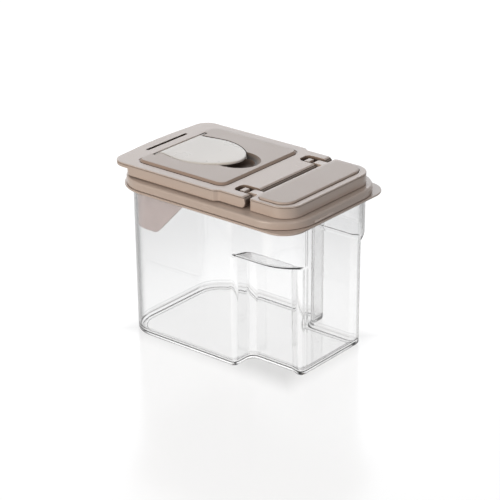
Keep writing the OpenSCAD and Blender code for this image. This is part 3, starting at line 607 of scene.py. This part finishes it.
def flap_cuts():
    """What is cut from the top: the tab's seat, the dish and its well, the hole, the slot, the windows and the ways;
    most of their walls carry painted shade, darkest in the dish.
    """
    dish_side = [
        (6.2, SEAT_Z + 0.03), (4.5, SEAT_Z + 0.75), (3.0, SEAT_Z + 1.45), (1.8, SEAT_Z + 2.05), (0.9, SEAT_Z + 2.6),
        (0.3, SEAT_Z + 3.0), (-0.1, PLATEAU_TOP - 0.05), (-0.4, PLATEAU_TOP + 0.02), (-0.6, PLATEAU_TOP + 1),
    ]
    # height, inset, and how far the ring moves towards the hinge edge
    well_rings = (
        (DISH_FLOOR, 5.5, 1.8), (DISH_FLOOR + 0.08, 4.4, 1.6), (DISH_FLOOR + 0.35, 3.3, 1.3),
        (DISH_FLOOR + 0.85, 2.3, 0.9), (DISH_FLOOR + 1.8, 1.2, 0.45), (DISH_FLOOR + 3.0, 0.4, 0.1),
        (SEAT_Z - 0.07, 0, 0), (SEAT_Z + 0.5, -0.4, 0),
    )
    well = [level(disc(WELL_X - lean, 0, WELL_LENGTH - step, WELL_HALF - step, 72), z) for z, step, lean in well_rings]
    hole_side = [(0, FLAP_LOW)] + [(-a, SEAT_Z - 0.4 + u) for a, u in quarter(0.4, 3)][:-1] + [(-0.4, SEAT_Z + 0.5)]
    slot = box_plan(SLOT_X - SLOT_WIDTH / 2, SLOT_X + SLOT_WIDTH / 2, -SLOT_HALF, SLOT_HALF, 1.3)
    cuts = [
        finished(solid("seat", tab_plan(SEAT_GAP + 0.2), flared(SEAT_Z, PLATEAU_TOP, 0.2, 0.2)), PAINTED_LINE_SHADE, open_wall),
        finished(solid("dish", disc(DISH_X, 0, DISH_LENGTH, DISH_HALF, 96), dish_side), PAINTED_DISH_SHADE),
        finished(loft("well", well), PAINTED_DEPTH_SHADE),
        solid("hole", hole_plan, hole_side),
        finished(solid("slot", slot, flared(LIP_LOW - 2, FLAP_TOP, 0.3, 0.1)), PAINTED_LINE_SHADE),
    ]
    for side in SIDES:
        cuts.append(finished(solid("window", window_plan(side), flared(FLAP_LOW - 1, FLAP_TOP, 0.4, 0.1)), PAINTED_DEPTH_SHADE))
        way = box_plan(TAB_X - WAY_HALF, TAB_X + WAY_HALF, *on_side(side, TAB_HINGE_HALF, WAY_END), 0.3)
        cuts.append(finished(solid("trunnion_way", way, flared(TAB_Z - WAY_DEPTH, PLATEAU_TOP, 0.1, 0.05)), PAINTED_LINE_SHADE))
    return cuts


def make_main_flap():
    plateau_plan = box_plan(PLATEAU_X0, PLATEAU_X1, -PLATEAU_HALF, PLATEAU_HALF, 9, 8.5, 14)
    plateau = solid("plateau", plateau_plan, [
        (0.0, FLAP_TOP - 1.0), (0.0, FLAP_TOP), (0.15, FLAP_TOP + 0.2), (1.75, FLAP_TOP + 1.6),
        (1.95, FLAP_TOP + 1.76), (2.2, FLAP_TOP + 1.86), (2.6, PLATEAU_TOP)])
    # painted shade in the groove at the plateau's foot and on its slopes
    finished(plateau, PAINTED_LINE_SHADE, lambda at, normal: at.z < FLAP_TOP)
    finished(plateau, PAINTED_DEPTH_SHADE, lambda at, normal: at.z > FLAP_TOP and abs(normal.z) < 0.8)
    moat = ring_solid("plateau_line", plateau_plan, -1.0, 0.2, FLAP_TOP - 0.55, FLAP_TOP + 0.5, 0.1)
    flap = carve(carve(flap_skin(), "DIFFERENCE", moat), "UNION", plateau)
    flap = carve(flap, "DIFFERENCE", *flap_hollows())
    flap = carve(flap, "UNION", *flap_bosses())
    flap = carve(flap, "DIFFERENCE", *flap_cuts())

    # a low sill closes the seat behind the tab's hinge edge
    sill_x, sill_half = TAB_X - TAB_EDGE - 0.5, TAB_HINGE_HALF - 0.2
    sill = block("hinge_sill", TAB_X - TAB_EDGE - SEAT_GAP - 0.4, sill_x, -sill_half, sill_half,
                 SEAT_Z - 0.5, PLATEAU_TOP - 0.45, 0.14, 0.08)
    flap = carve(flap, "UNION", sill)

    parts = []
    for side in SIDES:
        y0, y1 = on_side(side, WINDOW_IN, WINDOW_OUT)
        parts.append(bar("hinge_bar", HINGE_X, HINGE_Z, BAR_R, y0 - 1, y1 + 1, 0.05))
        parts.append(block("stop", STOP_X0, STOP_X1, *on_side(side, ARM_IN, ARM_OUT), STOP_LOW, STOP_TOP, 0.6, 0.5))
        parts.append(block("stop_rib", STOP_X0 + 0.1, STOP_X1 - 0.1, y0 - 0.9, y1 + 0.9, STOP_RIB_LOW, STOP_RIB_TOP,
                           0.45, 0.3))
    return carve(flap, "UNION", *parts)


# ---------- spout tab and seals ----------
def make_spout_tab():
    plan, middle = tab_plan(), Vector((TAB_MIDDLE_X, 0.0))

    def inwards(p, d):
        """The point moved by d towards the middle of the tab."""
        away = p - middle
        return p - away.normalized() * min(d, away.length * 0.9)

    def rise(x):
        """The tab climbs gently towards its tip."""
        t = max(0, (x - TAB_LEVEL_X) / (TAB_TIP - TAB_LEVEL_X))
        return TAB_RISE * t * (0.25 * t + 0.75)

    profile = [
        (0.35, TAB_LOW), (0.1, TAB_LOW + 0.12), (0.0, TAB_LOW + 0.4), (0.0, PLATEAU_TOP - 1.0),
        (0.12, PLATEAU_TOP - 0.62), (0.42, PLATEAU_TOP - 0.28), (0.85, PLATEAU_TOP - 0.08), (1.4, PLATEAU_TOP - 0.01),
        (3.0, PLATEAU_TOP + 0.05), (6.0, PLATEAU_TOP + 0.12), (11.0, PLATEAU_TOP + 0.18), (18.0, PLATEAU_TOP + 0.2),
    ]
    rings = []
    for d, z in profile:
        ring = shrink(plan, d) if d <= 1 else [inwards(p, d) for p in plan]
        rings.append([(p.x, p.y, z + rise(p.x)) for p in ring])
    tab = loft("spout_tab_shell", rings)
    edge = bar("hinge_edge", TAB_X, TAB_Z, TAB_EDGE, -TAB_HINGE_HALF, TAB_HINGE_HALF, 0.3)
    pins = bar("trunnions", TAB_X, TAB_Z, PIN_R, -PIN_END, PIN_END, 0.25)
    plug_low = TAB_LOW - SPOUT_PLUG_DEPTH
    plug = ring_solid("spout_plug", hole_plan, SPOUT_PLUG_OUT, SPOUT_PLUG_IN, plug_low, TAB_LOW + 0.6, 0.3)
    return carve(tab, "UNION", edge, pins, plug)


# body, node, shell, plan, outer and inner inset, low, top, edge
SEALS = (
    ("lid", "lid_seal", "rim_gasket", mouth_plan, -RIM_REACH + 0.2, PLUG_OUT - 0.2, 143.6, PLATE_LOW, 0.6),
    ("flap", "flap_seal", "flap_gasket", collar_middle, -1.5, 1.5, FLAP_UNDER - 2, FLAP_UNDER, 0.6),
    ("spout", "spout_seal_ring", "spout_gasket", hole_plan, -2.5, 0.5, TAB_LOW - 0.7, TAB_LOW, 0.25),
)


# ---------- shared finish effects ----------
def new_group(name, inputs, output, kind="NodeSocketFloat"):
    """Empty shader node group with one output of that kind; inputs are name: default, where a tuple is a colour."""
    group = bpy.data.node_groups.new(name, "ShaderNodeTree")
    for label, default in inputs.items():
        in_kind = "NodeSocketColor" if isinstance(default, tuple) else "NodeSocketFloat"
        group.interface.new_socket(label, in_out="INPUT", socket_type=in_kind).default_value = default
    group.interface.new_socket(output, in_out="OUTPUT", socket_type=kind)
    return group, group.nodes.new("NodeGroupInput"), group.nodes.new("NodeGroupOutput")


def set_inputs(made, **values):
    """Sets inputs of a node by their names, written in lower case."""
    for key, value in values.items():
        made.inputs[key.replace("_", " ").title().replace("Ior", "IOR")].default_value = value


def node(tree, kind, **settings):
    """New node; a setting that names an input sets its default, any other is an attribute."""
    made = tree.nodes.new(kind)
    for key, value in settings.items():
        if key.replace("_", " ").title() in made.inputs.keys():
            set_inputs(made, **{key: value})
        else:
            setattr(made, key, value)
    return made


def maths(tree, operation, a, b, clamp=False):
    """Maths node on two values or sockets."""
    made = node(tree, "ShaderNodeMath", operation=operation, use_clamp=clamp)
    for socket, value in zip(made.inputs, (a, b)):
        if isinstance(value, bpy.types.NodeSocket):
            tree.links.new(value, socket)
        else:
            socket.default_value = value
    return made.outputs[0]


def object_place(tree):
    """Place on the surface, in the object's own coordinates."""
    return node(tree, "ShaderNodeTexCoord").outputs["Object"]


def axes(tree, vector):
    """X, Y and Z of a vector socket."""
    made = node(tree, "ShaderNodeSeparateXYZ")
    tree.links.new(vector, made.inputs[0])
    return made.outputs


def scaled(tree, colour, level):
    """A colour socket times a level."""
    made = node(tree, "ShaderNodeVectorMath", operation="SCALE")
    tree.links.new(colour, made.inputs[0])
    tree.links.new(level, made.inputs["Scale"])
    return made.outputs[0]


def object_noise(tree, scale, detail, roughness, stretch=None):
    """Noise in the object's own coordinates; scale is a value or a socket."""
    place = object_place(tree)
    if stretch:
        mapping = node(tree, "ShaderNodeMapping", scale=stretch)
        tree.links.new(place, mapping.inputs["Vector"])
        place = mapping.outputs["Vector"]
    noise = node(tree, "ShaderNodeTexNoise", detail=detail, roughness=roughness)
    tree.links.new(place, noise.inputs["Vector"])
    if isinstance(scale, bpy.types.NodeSocket):
        tree.links.new(scale, noise.inputs["Scale"])
    else:
        noise.inputs["Scale"].default_value = scale
    return noise.outputs["Fac"]


def build_grain():
    """Fine moulded grain: the height of a spark-eroded surface, with a slower swell under it."""
    group, gin, gout = new_group("moulded_grain", {"Grain Scale": 2500.0, "Swell": 0.3}, "Height")
    fine = object_noise(group, gin.outputs["Grain Scale"], 2.0, 0.55)
    slow = object_noise(group, 60.0, 2.0, 0.4)
    mixed = maths(group, "ADD", fine, maths(group, "MULTIPLY", slow, gin.outputs["Swell"]))
    group.links.new(mixed, gout.inputs["Height"])
    return group


def build_tone_drift():
    """Slow drift of a plastic's tone, as its pigment flows in the mould, with tiny flecks."""
    inputs = {"Color": (0.5, 0.5, 0.5, 1), "Drift": 0.05, "Fleck": 0.03}
    group, gin, gout = new_group("tone_drift", inputs, "Color", "NodeSocketColor")
    flow = object_noise(group, 22.0, 3.0, 0.5)
    fleck = object_noise(group, 1400.0, 2.0, 0.7)
    a = maths(group, "MULTIPLY", maths(group, "SUBTRACT", flow, 0.5), gin.outputs["Drift"])
    b = maths(group, "MULTIPLY", maths(group, "SUBTRACT", fleck, 0.5), gin.outputs["Fleck"])
    level = maths(group, "ADD", maths(group, "ADD", a, b), 1.0)
    group.links.new(scaled(group, gin.outputs["Color"], level), gout.inputs["Color"])
    return group


def build_handling():
    """Roughness of a handled surface: base value, polished patches, and fine hair scratches along the part."""
    inputs = {"Roughness": 0.4, "Polish": 0.06, "Scratches": 0.05}
    group, gin, gout = new_group("handling", inputs, "Roughness")
    patches = object_noise(group, 45.0, 4.0, 0.6)
    hairs = object_noise(group, 900.0, 1.0, 0.5, (0.06, 1.0, 0.4))
    lines = maths(group, "MULTIPLY", maths(group, "SUBTRACT", hairs, 0.66), 8.0, True)
    polish = maths(group, "MULTIPLY", maths(group, "SUBTRACT", patches, 0.5), gin.outputs["Polish"])
    marked = maths(group, "MULTIPLY", lines, gin.outputs["Scratches"])
    total = maths(group, "ADD", maths(group, "ADD", gin.outputs["Roughness"], polish), marked, True)
    group.links.new(total, gout.inputs["Roughness"])
    return group


GRAIN, DRIFT, HANDLING = build_grain(), build_tone_drift(), build_handling()


def placed(tree, group, **values):
    """A group node with its own values."""
    return node(tree, "ShaderNodeGroup", node_tree=group, **values)


def ramp(tree, value, stops):
    """Grey ramp through (place, level) stops, given in rising order."""
    made = node(tree, "ShaderNodeValToRGB")
    tree.links.new(value, made.inputs["Fac"])
    elements = made.color_ramp.elements
    elements[0].position, elements[1].position = stops[0][0], stops[-1][0]
    for at, level in stops[1:-1]:
        elements.new(at)
    for stop, (at, level) in zip(elements, stops):
        stop.position, stop.color = at, (level, level, level, 1)
    return made.outputs["Color"]


def span(tree, value, low, high, at_low, at_high):
    """Smooth step of a value between two places."""
    made = node(tree, "ShaderNodeMapRange", interpolation_type="SMOOTHSTEP",
                from_min=low, from_max=high, to_min=at_low, to_max=at_high)
    tree.links.new(value, made.inputs["Value"])
    return made.outputs["Result"]


def new_material(name):
    """Material with its tree and its Principled node."""
    mat = bpy.data.materials.new(name)
    mat.use_nodes = True
    return mat, mat.node_tree, mat.node_tree.nodes["Principled BSDF"]


def moulded_plastic(name, colour, roughness, drift, fleck, grain, depth, polish, scratches, change=None, **shader):
    """Opaque moulded plastic: drifting tone, handled gloss and fine grain; shader sets the Principled node's sockets.

    change is (low, high, tone, matt): from the low height in millimetres to the high one, the colour goes over to
    that tone and the roughness rises by matt. That change of tone is painted shade and light by height: darker low in
    the hollows and the dish, darker on the plateau, lighter on the tab's raised tip.
    """
    mat, tree, base = new_material(name)
    tone = placed(tree, DRIFT, color=(*colour, 1), drift=drift, fleck=fleck)
    gloss = placed(tree, HANDLING, roughness=roughness, polish=polish, scratches=scratches)
    shade, rough = tone.outputs["Color"], gloss.outputs["Roughness"]
    if change:
        low, high, change_tone, matt = change
        above = span(tree, axes(tree, object_place(tree))["Z"], low * MM, high * MM, 0, 1)
        shade = scaled(tree, shade, maths(tree, "ADD", maths(tree, "MULTIPLY", above, change_tone - 1), 1))
        rough = maths(tree, "ADD", rough, maths(tree, "MULTIPLY", above, matt))
    tree.links.new(shade, base.inputs["Base Color"])
    tree.links.new(rough, base.inputs["Roughness"])
    skin = placed(tree, GRAIN, grain_scale=grain, swell=0.4)
    bump = node(tree, "ShaderNodeBump", strength=0.6, distance=depth)
    tree.links.new(skin.outputs["Height"], bump.inputs["Height"])
    tree.links.new(bump.outputs["Normal"], base.inputs["Normal"])
    set_inputs(base, **shader)
    return mat


# Painted shade in a clear wall's tint: by how far it turns edge on, and in bands by the height in its foot, in
# millimetres.
CLEAR_EDGE_ON_PAINTED_SHADE = (
    (0, 0.985), (0.1, 0.975), (0.29, 0.89), (0.42, 0.86), (0.5, 0.80), (0.6, 0.52), (0.68, 0.32), (0.78, 0.20),
    (1, 0.12),
)
FOOT_REACH = 12
FOOT_PAINTED_SHADE_BANDS = (
    (0, 0.9), (2.4, 1), (2.5, 0.75), (2.75, 0.8), (3.1, 1), (4.3, 1), (4.9, 0.75), (5.5, 1), (6.9, 1), (7.5, 0.75),
    (8.2, 1), (FOOT_REACH, 1),
)
CLEAR_TINT, CLEAR_PASSING = (0.97, 0.972, 0.975, 1), (0.96, 0.965, 0.97, 1)


def clear_plastic():
    """Clear styrene: bends light, lets lamps through to what it holds, and has faint flow waves and handling haze.

    Its tint has painted shade where a wall turns edge on and in bands round the foot, and painted light where faces lie
    down.
    """
    mat, tree, base = new_material("clear_plastic")
    height = axes(tree, object_place(tree))["Z"]
    lying = maths(tree, "ABSOLUTE", axes(tree, node(tree, "ShaderNodeNewGeometry").outputs["Normal"])["Z"], 0)

    def zone(low, high, at_low, at_high):
        """Smooth step between two heights in millimetres."""
        return span(tree, height, low * MM, high * MM, at_low, at_high)

    # painted shade: a wall's tint darkens the more it is seen edge on, and in bands at heights in the foot, where the
    # wall thickens
    facing = node(tree, "ShaderNodeLayerWeight", blend=0.5)
    edges = ramp(tree, facing.outputs["Facing"], CLEAR_EDGE_ON_PAINTED_SHADE)
    foot = ramp(tree, maths(tree, "MULTIPLY", height, 1 / (FOOT_REACH * MM)),
                [(z / FOOT_REACH, level) for z, level in FOOT_PAINTED_SHADE_BANDS])
    # painted light: faces that lie down are tinted lighter: the floor, the rounds of the ledges and the foot, and the
    # rim
    flat = maths(tree, "MULTIPLY", span(tree, lying, 0.985, 0.9995, 0, 1), zone(8, 10, 1, 0))
    ledge = maths(tree, "MULTIPLY", zone(94, 97, 0, 1), zone(108, 111, 1, 0))
    zones = maths(tree, "MAXIMUM", ledge, zone(3.5, 6, 0.9, 0))
    rounds = maths(tree, "MULTIPLY", span(tree, lying, 0.02, 0.2, 0, 0.85), zones)
    light = maths(tree, "MAXIMUM", flat, maths(tree, "MAXIMUM", rounds, span(tree, lying, 0.15, 0.7, 0, 0.65)))
    tint = node(tree, "ShaderNodeMix", data_type="RGBA")
    tree.links.new(light, tint.inputs["Factor"])
    tree.links.new(edges, tint.inputs["A"])
    tint.inputs["B"].default_value = CLEAR_TINT
    lined = node(tree, "ShaderNodeMix", data_type="RGBA", blend_type="MULTIPLY")
    lined.inputs["Factor"].default_value = 1.0
    tree.links.new(tint.outputs["Result"], lined.inputs["A"])
    tree.links.new(foot, lined.inputs["B"])
    tree.links.new(lined.outputs["Result"], base.inputs["Base Color"])
    set_inputs(base, transmission_weight=1.0, ior=1.5)
    gloss = placed(tree, HANDLING, roughness=0.012, polish=0.01, scratches=0.03)
    tree.links.new(gloss.outputs["Roughness"], base.inputs["Roughness"])
    waves = node(tree, "ShaderNodeBump", strength=0.5, distance=0.00008)
    tree.links.new(object_noise(tree, 34.0, 1.0, 0.4), waves.inputs["Height"])
    tree.links.new(waves.outputs["Normal"], base.inputs["Normal"])
    # lamps shine through it without being bent, so what it holds is lit
    passing = node(tree, "ShaderNodeBsdfTransparent", color=CLEAR_PASSING)
    mix = node(tree, "ShaderNodeMixShader")
    path = node(tree, "ShaderNodeLightPath")
    for socket, source in zip(mix.inputs, (path.outputs["Is Shadow Ray"], base.outputs[0], passing.outputs[0])):
        tree.links.new(source, socket)
    tree.links.new(mix.outputs[0], tree.nodes["Material Output"].inputs["Surface"])
    return mat


CLEAR = clear_plastic()
# painted shade: above 159.1 mm, on the plateau and the deck's panel, the colour is darkened to 0.89, standing in for
# their weaker sheen; the roughness rises by 0.1 for their matter texture
TAUPE = moulded_plastic(
    "taupe_plastic", (0.51, 0.42, 0.365), roughness=0.24, drift=0.05, fleck=0.05, grain=2600.0, depth=0.00002,
    polish=0.08, scratches=0.05, change=(159.1, 159.5, 0.89, 0.1), ior=1.5)
# painted shade: the chute is the taupe plastic, painted darker and cooler as if in shade inside the tub
CHUTE_PAINTED_SHADE_TAUPE = moulded_plastic(
    "chute_taupe_painted_shade", (0.335, 0.292, 0.295), roughness=0.36, drift=0.05, fleck=0.04, grain=2600.0, depth=0.00003,
    polish=0.08, scratches=0.03, ior=1.5)
# painted shade: near black for narrow gaps and lines, darker lower down for hollows, and darkest for the finger dish
GAP_SHADE_PAINT = moulded_plastic(
    "painted_line_shade", (0.055, 0.035, 0.025), roughness=0.6, drift=0.08, fleck=0.05, grain=2600.0, depth=0.00003,
    polish=0.05, scratches=0.0, ior=1.45)
DEPTH_SHADE_PAINT = moulded_plastic(
    "painted_depth_shade", (0.115, 0.085, 0.068), roughness=0.4, drift=0.05, fleck=0.05, grain=2600.0, depth=0.00003,
    polish=0.05, scratches=0.0, change=(154.5, 160.6, 3.1, 0), ior=1.45)
DISH_SHADE_PAINT = moulded_plastic(
    "painted_dish_shade", (0.036, 0.027, 0.021), roughness=0.45, drift=0.05, fleck=0.05, grain=2600.0, depth=0.00003,
    polish=0.05, scratches=0.0, change=(157.8, 160.6, 5.6, 0), ior=1.45, specular_ior_level=0.25)
TAUPE_AND_PAINTED_SHADES = (TAUPE, GAP_SHADE_PAINT, DEPTH_SHADE_PAINT, DISH_SHADE_PAINT)
# painted light: from 160.8 mm up, on the tab's raised tip, the colour is lightened up to 1.09
CREAM = moulded_plastic(
    "cream_plastic", (0.69, 0.655, 0.61), roughness=0.28, drift=0.03, fleck=0.02, grain=1800.0, depth=0.000015,
    polish=0.06, scratches=0.06, change=(160.8, 161.8, 1.09, 0), ior=1.5)
SILICONE = moulded_plastic(
    "silicone", (0.72, 0.72, 0.70), roughness=0.55, drift=0.03, fleck=0.03, grain=1200.0, depth=0.00004,
    polish=0.08, scratches=0.0, ior=1.41, subsurface_weight=0.15)

# ---------- the pieces, on their bodies ----------
settle(make_tub(), "tub", "tub", "clear_plastic", CLEAR, crease=40)
settle(make_lid_base(), "lid", "lid_base", "taupe_plastic", *TAUPE_AND_PAINTED_SHADES)
settle(make_chute(), "lid", "pour_chute", "taupe_plastic", CHUTE_PAINTED_SHADE_TAUPE)
settle(make_rear_deck(), "lid", "rear_deck", "taupe_plastic", *TAUPE_AND_PAINTED_SHADES)
settle(make_main_flap(), "flap", "main_flap", "taupe_plastic", *TAUPE_AND_PAINTED_SHADES)
settle(make_spout_tab(), "spout", "spout_tab", "cream_plastic", CREAM)
for seal_body, seal, *ring in SEALS:
    settle(ring_solid(*ring), seal_body, seal, "silicone", SILICONE)

# ---------- studio ----------
CAMERA_AZ, CAMERA_EL, CAMERA_ROLL = map(math.radians, (39.54, 23.47, -0.49))
CAMERA_DISTANCE, CAMERA_TARGET = 1.71996, Vector((0.00093, 0, 0.07916))
SENSOR, LENS, CLIP_NEAR, CLIP_FAR = 36.0, 141.25, 0.05, 30
AMBIENT, CEILING, CEILING_LOW, CEILING_HIGH = 0.25, 0.35, 0.45, 0.85
FLOOR_R, FLOOR_Z, FLOOR_TONE, FLOOR_LIFT = 1.6, -0.0004, 0.15, 0.80
# what the clear walls show of the table: a painted pool of light, brighter near the tub, and greyer further off
CLEAR_LIFT_NEAR, CLEAR_LIFT_FAR, LIFT_NEAR, LIFT_FAR = 0.84, 0.60, 0.10, 0.28
# painted contact shadow under the tub: its depth, and where it starts and ends beside the footprint
CONTACT_SHADE, CONTACT_IN, CONTACT_OUT = 0.24, -0.020, 0.015
# name, place, aim, width, height, power, colour
LAMPS = (
    ("key", (-0.2, -1.6, 0.62), (0, 0, 0.12), 1.0, 0.9, 18.5, (1.0, 0.91, 0.81)),
    ("side", (1.35, -0.35, 0.45), (0, 0, 0.13), 0.7, 0.9, 3.0, (1.0, 0.95, 0.93)),
    ("top", (0.0, 0.1, 1.5), (0, 0, 0.1), 1.2, 1.2, 2.2, (0.92, 0.95, 1.0)),
    ("back", (-1.0, 1.2, 0.75), (0, 0, 0.12), 1.8, 0.8, 6.5, (0.92, 0.95, 1.0)),
)


def make_floor():
    """Pale gloss table: it keeps the shadow, with a painted contact shadow and a painted pool of light under the tub,
    and its background reads white.
    """
    rim = disc(0, 0, FLOOR_R, steps=96)
    floor = make_mesh("floor", level(rim, 0), [tuple(range(len(rim)))])
    floor.location.z = FLOOR_Z
    mat, tree, base = new_material("pale_table")
    set_inputs(base, base_color=(FLOOR_TONE, FLOOR_TONE, FLOOR_TONE, 1), roughness=0.2, specular_ior_level=0.25,
               emission_color=(1, 1, 1, 1))
    path = node(tree, "ShaderNodeLightPath")
    place = object_place(tree)
    seen = maths(tree, "ADD", path.outputs["Is Camera Ray"], path.outputs["Is Glossy Ray"], True)
    away = node(tree, "ShaderNodeVectorMath", operation="LENGTH")
    tree.links.new(place, away.inputs[0])
    near, far = CLEAR_LIFT_NEAR - FLOOR_LIFT, CLEAR_LIFT_FAR - FLOOR_LIFT
    change = span(tree, away.outputs["Value"], LIFT_NEAR, LIFT_FAR, near, far)
    through = maths(tree, "MULTIPLY", path.outputs["Is Transmission Ray"], change)
    # painted shadow: the table is darkened where the tub stands close over it
    spot = axes(tree, place)
    beside = [maths(tree, "SUBTRACT", maths(tree, "ABSOLUTE", spot[axis], 0), half * MM)
              for axis, half in (("X", TUB_X), ("Y", TUB_Y))]
    shade = span(tree, maths(tree, "MAXIMUM", *beside), CONTACT_IN, CONTACT_OUT, -CONTACT_SHADE, 0)
    through = maths(tree, "ADD", through, maths(tree, "MULTIPLY", path.outputs["Is Camera Ray"], shade))
    lift = maths(tree, "ADD", maths(tree, "MULTIPLY", seen, FLOOR_LIFT), through)
    tree.links.new(lift, base.inputs["Emission Strength"])
    floor.data.materials[PLAIN] = mat


def make_world():
    """White all round at the height of the keeper, and a grey ceiling for glass and gloss to show."""
    world = bpy.data.worlds.new("studio")
    bpy.context.scene.world = world
    world.use_nodes = True
    tree = world.node_tree
    back = tree.nodes["Background"]
    back.inputs["Color"].default_value = (1, 1, 1, 1)
    way = axes(tree, node(tree, "ShaderNodeTexCoord").outputs["Generated"])
    height = span(tree, way["Z"], CEILING_LOW, CEILING_HIGH, 1.0, CEILING)
    path = node(tree, "ShaderNodeLightPath")
    shown = maths(tree, "ADD", path.outputs["Is Glossy Ray"], path.outputs["Is Transmission Ray"], True)
    plain = maths(tree, "ADD", maths(tree, "MULTIPLY", path.outputs["Is Camera Ray"], 1 - AMBIENT), AMBIENT)
    through = maths(tree, "MULTIPLY", shown, maths(tree, "SUBTRACT", height, AMBIENT))
    tree.links.new(maths(tree, "ADD", plain, through), back.inputs["Strength"])


def softbox(name, place, aim, width, height, power, colour):
    """Rectangular soft lamp, hidden from the camera and from what shows through the clear walls."""
    data = bpy.data.lights.new(name, "AREA")
    data.shape, data.size, data.size_y, data.energy, data.color = "RECTANGLE", width, height, power, colour
    lamp = bpy.data.objects.new(name, data)
    bpy.context.scene.collection.objects.link(lamp)
    lamp.location = place
    lamp.rotation_euler = (Vector(aim) - Vector(place)).to_track_quat("-Z", "Y").to_euler()
    lamp.visible_camera = False
    lamp.visible_transmission = False


def make_camera():
    flat = math.cos(CAMERA_EL)
    back = Vector((math.sin(CAMERA_AZ) * flat, -math.cos(CAMERA_AZ) * flat, math.sin(CAMERA_EL)))
    data = bpy.data.cameras.new("camera")
    data.sensor_width, data.lens = SENSOR, LENS
    data.clip_start, data.clip_end = CLIP_NEAR, CLIP_FAR
    camera = bpy.data.objects.new("camera", data)
    bpy.context.scene.collection.objects.link(camera)
    camera.location = CAMERA_TARGET + back * CAMERA_DISTANCE
    turn = (-back).to_track_quat("-Z", "Y").to_matrix().to_4x4()
    camera.rotation_euler = (turn @ Matrix.Rotation(CAMERA_ROLL, 4, "Z")).to_euler()
    bpy.context.scene.camera = camera


make_floor()
make_world()
for lamp in LAMPS:
    softbox(*lamp)
make_camera()

scene = bpy.context.scene
scene.view_settings.view_transform = "Standard"
